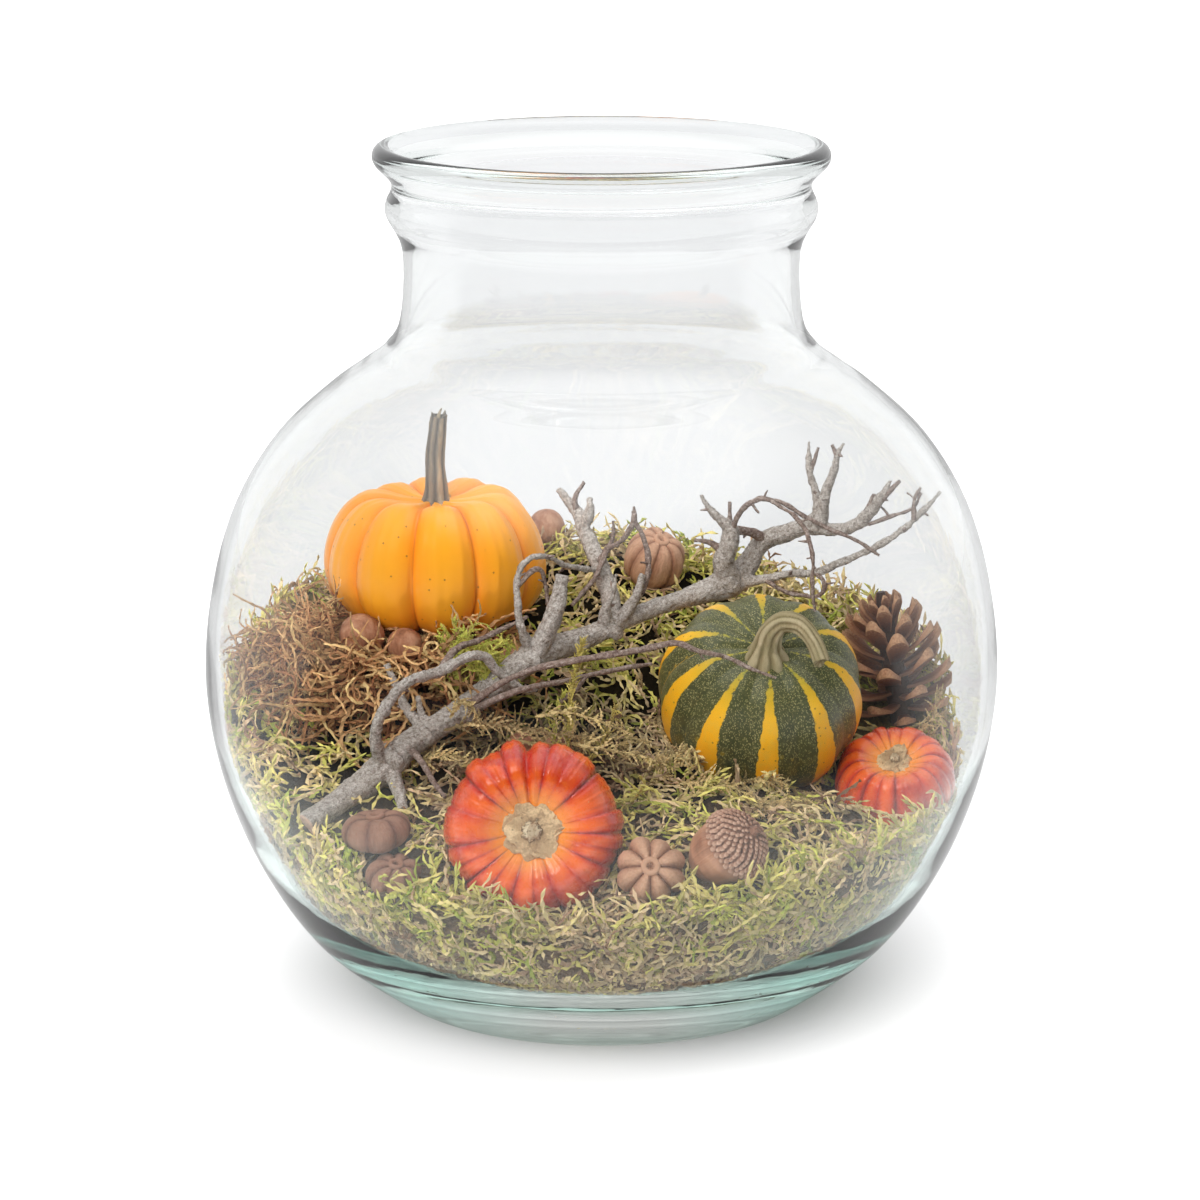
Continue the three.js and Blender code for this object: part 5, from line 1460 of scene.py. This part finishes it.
def copies(model, matrices, name):
    """Copies of a modelled piece, each with its own mesh, joined into one piece."""
    made = []
    for matrix in matrices:
        twin = model.copy()
        twin.data = model.data.copy()
        scene.collection.objects.link(twin)
        twin.data.transform(matrix)
        made.append(twin)
    join_to(*made)
    made[0].name = name
    return made[0]


def calyx(name, fruit, reach, base, blades, disc, peg, seed):
    """A woody disc, a ragged collar and a peg, at the top of a fruit."""
    random = np.random.default_rng(seed)
    leaf = sepal(name + "_leaf", reach, reach * 0.85)
    turns = []
    for i in range(blades):
        turn = 2 * math.pi * (i + random.uniform(-0.3, 0.3)) / blades
        size = random.uniform(0.62, 1.0)
        turns.append(Matrix.Rotation(turn, 4, "Z") @ Matrix.Translation((0, 0, (base + random.uniform(-0.4, 0.5)) * MM))
                     @ Matrix.Rotation(random.uniform(-0.04, 0.16), 4, "Y")
                     @ Matrix.Diagonal((size, random.uniform(0.7, 1.15), 1, 1)))
    collar = copies(leaf, turns, name)
    bpy.data.objects.remove(leaf)
    plug, ball, turn, _ = round_ball(name + "_disc", 64, 24)
    out = np.hypot(ball[:, 0], ball[:, 1])
    rough = 1 + 0.09 * np.sin(7 * turn + 1) + 0.06 * np.sin(13 * turn)
    hump = np.where(ball[:, 2] > 0, 0.9 + 0.3 * np.sin(9 * out + 3 * turn) * out, 3.0)
    rise = np.sign(ball[:, 2]) * np.abs(ball[:, 2]) ** 0.6 * hump + peg * np.exp(-(out / 0.31) ** 8) * (ball[:, 2] > 0)
    write_points(plug, np.column_stack([ball[:, 0] * disc * rough, ball[:, 1] * disc * rough, base + rise]) * MM)
    paint(plug, "along", np.where(out < 0.3, 0.0, 0.36 + 0.3 * out - 0.3 * np.exp(-((out - 0.36) / 0.08) ** 2)))
    join_to(collar, plug)
    set_down(collar, fruit)
    smooth(collar, 50)
    return collar


front_calyx = calyx("red_fruit_front_calyx", FRUIT_FRONT, 12.6, 14.0, 8, 9.2, 2.6, 5)
right_calyx = calyx("red_fruit_right_calyx", FRUIT_RIGHT, 8.4, 10.7, 7, 5.0, 1.8, 9)

dry = new_finish("dry_calyx", 0.85)
along = stored("along")
broad, fine, relief = weathered(place_of(), 190.0)
colour = ramp(times_plus(along, 0.7, times(fine, 0.3)),
              [(0.0, (0.80, 0.70, 0.50)), (0.17, (0.74, 0.62, 0.42)), (0.27, (0.14, 0.09, 0.045)),
               (0.42, (0.36, 0.235, 0.13)), (0.58, (0.58, 0.40, 0.225)), (0.76, (0.82, 0.60, 0.345)),
               (1.0, (0.92, 0.71, 0.44))])
colour = mix(times(speckled(place_of(), 700.0, 0.25, 0.35), 0.6), colour, (0.16, 0.10, 0.05))
colour = mix(grey(broad, 0.48, 0.66, 0.0, 0.5), colour, (0.34, 0.20, 0.10))
feed("Base Color", colour)
bumpy(relief, 0.7, 0.0009)
dress(front_calyx, dry, "dry_calyx", "fruit_front_calyx")
dress(right_calyx, dry, "dry_calyx", "fruit_right_calyx")

# %% [markdown]
# ## The pine cone
# All scales of a cone are alike and stand on a spiral, one every 137.5 degrees. So one scale is modelled: a
# cube, cut finer, thinned to a woody tongue that widens and curls up to a thick tip. Then it is copied up the axis.

# %% Pine cone
CONE_SCALES, GOLDEN_TURN = 44, 137.5
scale = start_from(bpy.ops.mesh.primitive_cube_add, "cone_scale", size=1, location=(0.5, 0, 0))
settle(scale)
edit_all(scale, bpy.ops.mesh.subdivide, number_cuts=5)
points = read_points(scale)
t, s, h = points[:, 0], points[:, 1] * 2, points[:, 2] * 2
broad_t = 0.30 + 0.55 * np.clip(t / 0.8, 0, 1) ** 1.3
tip_t = np.sqrt(np.clip(1 - ((t - 0.8) / 0.2).clip(0, 1) ** 2, 0.42, 1))
thick_t = 0.035 + 0.045 * np.clip((t - 0.7) / 0.3, 0, 1)
x = t * (1 - 0.06 * s ** 2 * (t > 0.7))
z = (0.30 * t ** 2 - 0.06 * s ** 2 * t + h * thick_t * (1 - 0.4 * s ** 2)
     + 0.04 * np.exp(-((t - 0.92) / 0.06) ** 2) * (h > 0) * (1 - s ** 2))
write_points(scale, np.column_stack([x, 0.5 * s * broad_t * tip_t * 0.52, z]))
paint(scale, "along", np.clip(t, 0, 1))
paint(scale, "edge", np.clip(np.abs(s), 0, 1))

base, top = Vector(CONE["base"]), Vector(CONE["top"])
axis_turn = Matrix.Translation(base * MM) @ (top - base).to_track_quat("Z", "Y").to_matrix().to_4x4()
tall = (top - base).length
random = np.random.default_rng(23)
places = []
for k in range(CONE_SCALES):
    t = (k + 0.5) / CONE_SCALES
    reach = CONE["reach"] * (0.78 + 1.05 * t - 1.5 * t * t)
    rise = math.radians(-14 + 62 * t + random.uniform(-6, 6))
    wide = 1.0 - 0.2 * t
    places.append(axis_turn @ Matrix.Translation((0, 0, (3 + t * (tall - 13)) * MM))
                  @ Matrix.Rotation(math.radians(GOLDEN_TURN * k), 4, "Z") @ Matrix.Rotation(-rise, 4, "Y")
                  @ Matrix.Rotation(random.uniform(-0.12, 0.12), 4, "X")
                  @ Matrix.Diagonal((reach * MM, reach * wide * MM, reach * MM, 1)))
cone = copies(scale, places, "pine_cone_scales")
bpy.data.objects.remove(scale)
spindle = to_mesh(as_curve("pine_cone_axis", [[(*CONE["base"], 4.5), (104, 28, 96, 4.4), (99.5, 28, 118, 3.2),
                                               (97.4, 28, 129, 1.6)]], 6, 0, 4))
smooth(cone, 60)
smooth(spindle)
woody = new_finish("cone_scales", 0.62)
along, edge_mask = stored("along"), stored("edge")
_, fine, relief = weathered(place_of(), 180.0)
colour = ramp(times_plus(fine, 0.25, times(along, 0.8)),
              [(0.15, (0.03, 0.010, 0.005)), (0.55, (0.13, 0.044, 0.020)), (0.8, (0.27, 0.11, 0.052)),
               (0.97, (0.54, 0.32, 0.185))])
colour = mix(times(grey(edge_mask, 0.7, 1.0), 0.5), colour, (0.40, 0.21, 0.115))
feed("Base Color", colour)
feed("Roughness", grey(fine, 0.0, 1.0, 0.45, 0.8))
bumpy(relief, 0.5, 0.0008)
dress(cone, woody, "cone_scale", "pine_cone")
paint(spindle, "along", 0)
dress(spindle, woody, "cone_scale", "pine_cone")

# %% [markdown]
# ## The acorn
# The nut is a ball drawn out to a blunt point. Its cup is a bowl under a coat of small overlapping scales; one
# scale is modelled and copied in rings that shrink towards the stalk.

# %% Acorn nut
nut, _, turn, rise = round_ball("acorn_shell", 64, 48)
heights = np.array([-1, -0.97, -0.92, -0.78, -0.35, 0.1, 0.5, 0.82, 0.96])
widths = np.array([0, 0.09, 0.17, 0.5, 0.9, 1, 0.86, 0.5, 0])
level = np.sin(rise) * 0.98 - 0.02
out = np.interp(level, heights, widths)
out = np.where(np.cos(rise) < 1e-4, 0, out)
write_points(nut, np.column_stack([out * ACORN["radius"] * np.cos(turn), out * ACORN["radius"] * np.sin(turn),
                                   level * ACORN["height"]]) * MM)
paint(nut, "turn", turn)
relax = nut.modifiers.new("relax", "SMOOTH")
relax.iterations = 4
apply_modifiers(nut)
set_down(nut, ACORN)
smooth(nut)

# %% Acorn cup
cup, *_ = round_ball("acorn_cup", 48, 24)
edit_all(cup, bpy.ops.mesh.bisect, plane_co=(0, 0, 0), plane_no=(0, 0, 1), clear_inner=True)
top_z = ACORN["height"] + CAP["wall"]
rim_z = top_z - CAP["depth"]
write_points(cup, read_points(cup) * (CAP["radius"] - 1.0, CAP["radius"] - 1.0, CAP["depth"] - 0.6) * MM
             + np.array([0, 0, rim_z]) * MM)
wall_thick = cup.modifiers.new("wall", "SOLIDIFY")
wall_thick.thickness = 1.1 * MM
wall_thick.offset = -1
apply_modifiers(cup)
chip = start_from(bpy.ops.mesh.primitive_cube_add, "cup_scale", size=1, location=(0, 0, 0))
edit_all(chip, bpy.ops.mesh.subdivide, number_cuts=1)
points = read_points(chip) * 2
rounding = 1 / np.maximum(1, np.linalg.norm(points, axis=1)) ** 0.9
points = points * rounding[:, None]
points[:, 1] *= 1 - 0.45 * np.clip(-points[:, 0], 0, 1)
write_points(chip, points * (1.25, 0.85, 0.45) * MM)
paint(chip, "along", np.clip(0.5 + 0.5 * points[:, 0], 0, 1))
places = []
random = np.random.default_rng(12)
CUP_ROWS = 11
for row in range(CUP_ROWS):
    rise = math.radians(2 + 80 * (row / CUP_ROWS) ** 0.9)
    count = max(6, int(34 * math.cos(rise)))
    for i in range(count):
        turn = 2 * math.pi * (i + 0.5 * (row % 2)) / count
        size = (1.0 - 0.03 * row) * random.uniform(0.85, 1.15)
        out = Vector((math.cos(rise) * (CAP["radius"] - 0.6), 0, math.sin(rise) * (CAP["depth"] - 0.2)))
        places.append(Matrix.Rotation(turn, 4, "Z") @ Matrix.Translation((out.x * MM, 0, (rim_z + out.z) * MM))
                      @ Matrix.Rotation(rise - math.pi / 2 + 0.25, 4, "Y").inverted() @ Matrix.Scale(size, 4))
chips = copies(chip, places, "acorn_cup_scales")
bpy.data.objects.remove(chip)
stalk = to_mesh(as_curve("acorn_stalk", [[(0, 0, top_z - 1.4, 1.9), (0.1, 0, top_z + 0.4, 1.5),
                                          (0.3, 0.1, top_z + 1.7, 1.35)]], 4, 0, 4))
join_to(cup, chips, stalk)
set_down(cup, ACORN)
smooth(cup, 40)

shell = new_finish("acorn_shell", 0.38, Coat_Weight=0.2, Coat_Roughness=0.3)
broad, _, relief = weathered(place_of(), 130.0)
lines = noise(put("ShaderNodeCombineXYZ", {0: maths("SINE", stored("turn")),
                                           1: maths("COSINE", stored("turn"))}).outputs[0], 22.0, 3.0)
colour = ramp(times_plus(lines, 0.6, times(broad, 0.4)),
              [(0.25, (0.25, 0.11, 0.06)), (0.55, (0.46, 0.22, 0.125)), (0.85, (0.63, 0.34, 0.21))])
feed("Base Color", colour)
bumpy(relief, 0.2, 0.0006)
dress(nut, shell, "acorn_shell", "acorn_nut")


def brown_finish(name, deep, middle, pale, rough, by=None):
    finish = new_finish(name, rough)
    broad, fine, relief = weathered(place_of(), 150.0)
    grain = noise(place_of((1, 1, 0.3)), 1100.0, 4.0, 0.6)
    if by:
        broad = times_plus(stored(by), 1.1, times(broad, 0.3))
    colour = ramp(times_plus(grain, 0.6, times(broad, 0.45)),
                  [(0.2, deep), (0.52, middle), (0.85, pale)])
    feed("Base Color", colour)
    feed("Roughness", grey(fine, 0.0, 1.0, rough - 0.1, rough + 0.15))
    bumpy(times_plus(grain, 0.5, relief), 0.45, 0.0008)
    return finish


dress(cup, brown_finish("acorn_cup", (0.09, 0.042, 0.027), (0.37, 0.19, 0.125), (0.68, 0.44, 0.32), 0.75, "along"),
      "acorn_cup", "acorn_cap")

# %% [markdown]
# ## Pods and nuts
# The pods are the ribbed body again, small and matt, with a woody button where their ribs meet. The nuts are
# balls with a few soft creases and a blunt end.

# %% Pods
def pod_finish(name, deep, middle, pale, patch):
    finish = new_finish(name, 0.66)
    broad, _, relief = weathered(own_place(), 170.0)
    lines = noise(own_place((1, 1, 0.2)), 1300.0, 3.0, 0.6)
    colour = ramp(times_plus(stored("wave"), 0.55, times(lines, 0.5)),
                  [(0.1, deep), (0.45, middle), (0.9, pale)])
    feed("Base Color", mix(times(broad, 0.3), colour, patch))
    bumpy(times_plus(lines, 0.6, relief), 0.5, 0.0009)
    return finish


pod_brown = pod_finish("brown_pod", (0.08, 0.032, 0.02), (0.35, 0.165, 0.095), (0.70, 0.42, 0.27), (0.44, 0.22, 0.13))
pod_dark = pod_finish("dark_pod", (0.05, 0.02, 0.014), (0.19, 0.085, 0.055), (0.42, 0.23, 0.155), (0.24, 0.11, 0.07))


def button(form, name):
    """The small ring where the stalk was, on top of a pod."""
    knob = start_from(bpy.ops.mesh.primitive_torus_add, name, major_segments=28, minor_segments=12,
                      major_radius=0.19 * form["radius"] * MM, minor_radius=0.09 * form["radius"] * MM,
                      location=(0, 0, form["height"] * MM * 0.96))
    set_down(knob, form, knob.matrix_world.copy())
    for layer, value in (("wave", 0.9), ("turn", 0.0), ("rise", 1.0)):
        paint(knob, layer, value)
    return knob


for name, form in (("pod_front", POD_FRONT), ("pod_left", POD_LEFT), ("pod_low_left", POD_LOW_LEFT),
                   ("pod_back", POD_BACK)):
    pod = ribbed(name + "_ribbed", form, 160, 72, 0.008, 0.045, 0.6)
    join_to(pod, button(form, name + "_button"))
    dress(pod, pod_dark if "left" in name else pod_brown, "brown_pod", name)

# %% Nuts
nut_brown = brown_finish("brown_nut", (0.13, 0.05, 0.028), (0.40, 0.18, 0.10), (0.60, 0.35, 0.22), 0.5)
for index, (name, (size, spot)) in enumerate(NUTS.items()):
    nut, ball, turn, _ = round_ball(name + "_shell", 48, 32)
    crease = 0.035 * np.exp(-(np.sin(2.5 * turn + index) / 0.16) ** 2) * np.hypot(ball[:, 0], ball[:, 1])
    point_end = 0.05 * np.exp(-((ball[:, 2] - 1) / 0.05) ** 2)
    shape = ball * (size * (1 - crease - 0.015 * np.sin(3 * ball[:, 0] + index) + point_end))[:, None] * (1, 1, 0.93)
    write_points(nut, shape * MM)
    nut.matrix_world = (Matrix.Translation(Vector(spot) * MM) @ Matrix.Rotation(0.5 + 0.4 * index, 4, "X")
                        @ Matrix.Rotation(0.35 - 0.5 * index, 4, "Y"))
    settle(nut)
    smooth(nut)
    dress(nut, nut_brown, "brown_nut", name)

# %% [markdown]
# ## Size
# The dressed jar is kept to the same box as the imported one by the height and reach that clip its section.

# %% End
print("scene built")
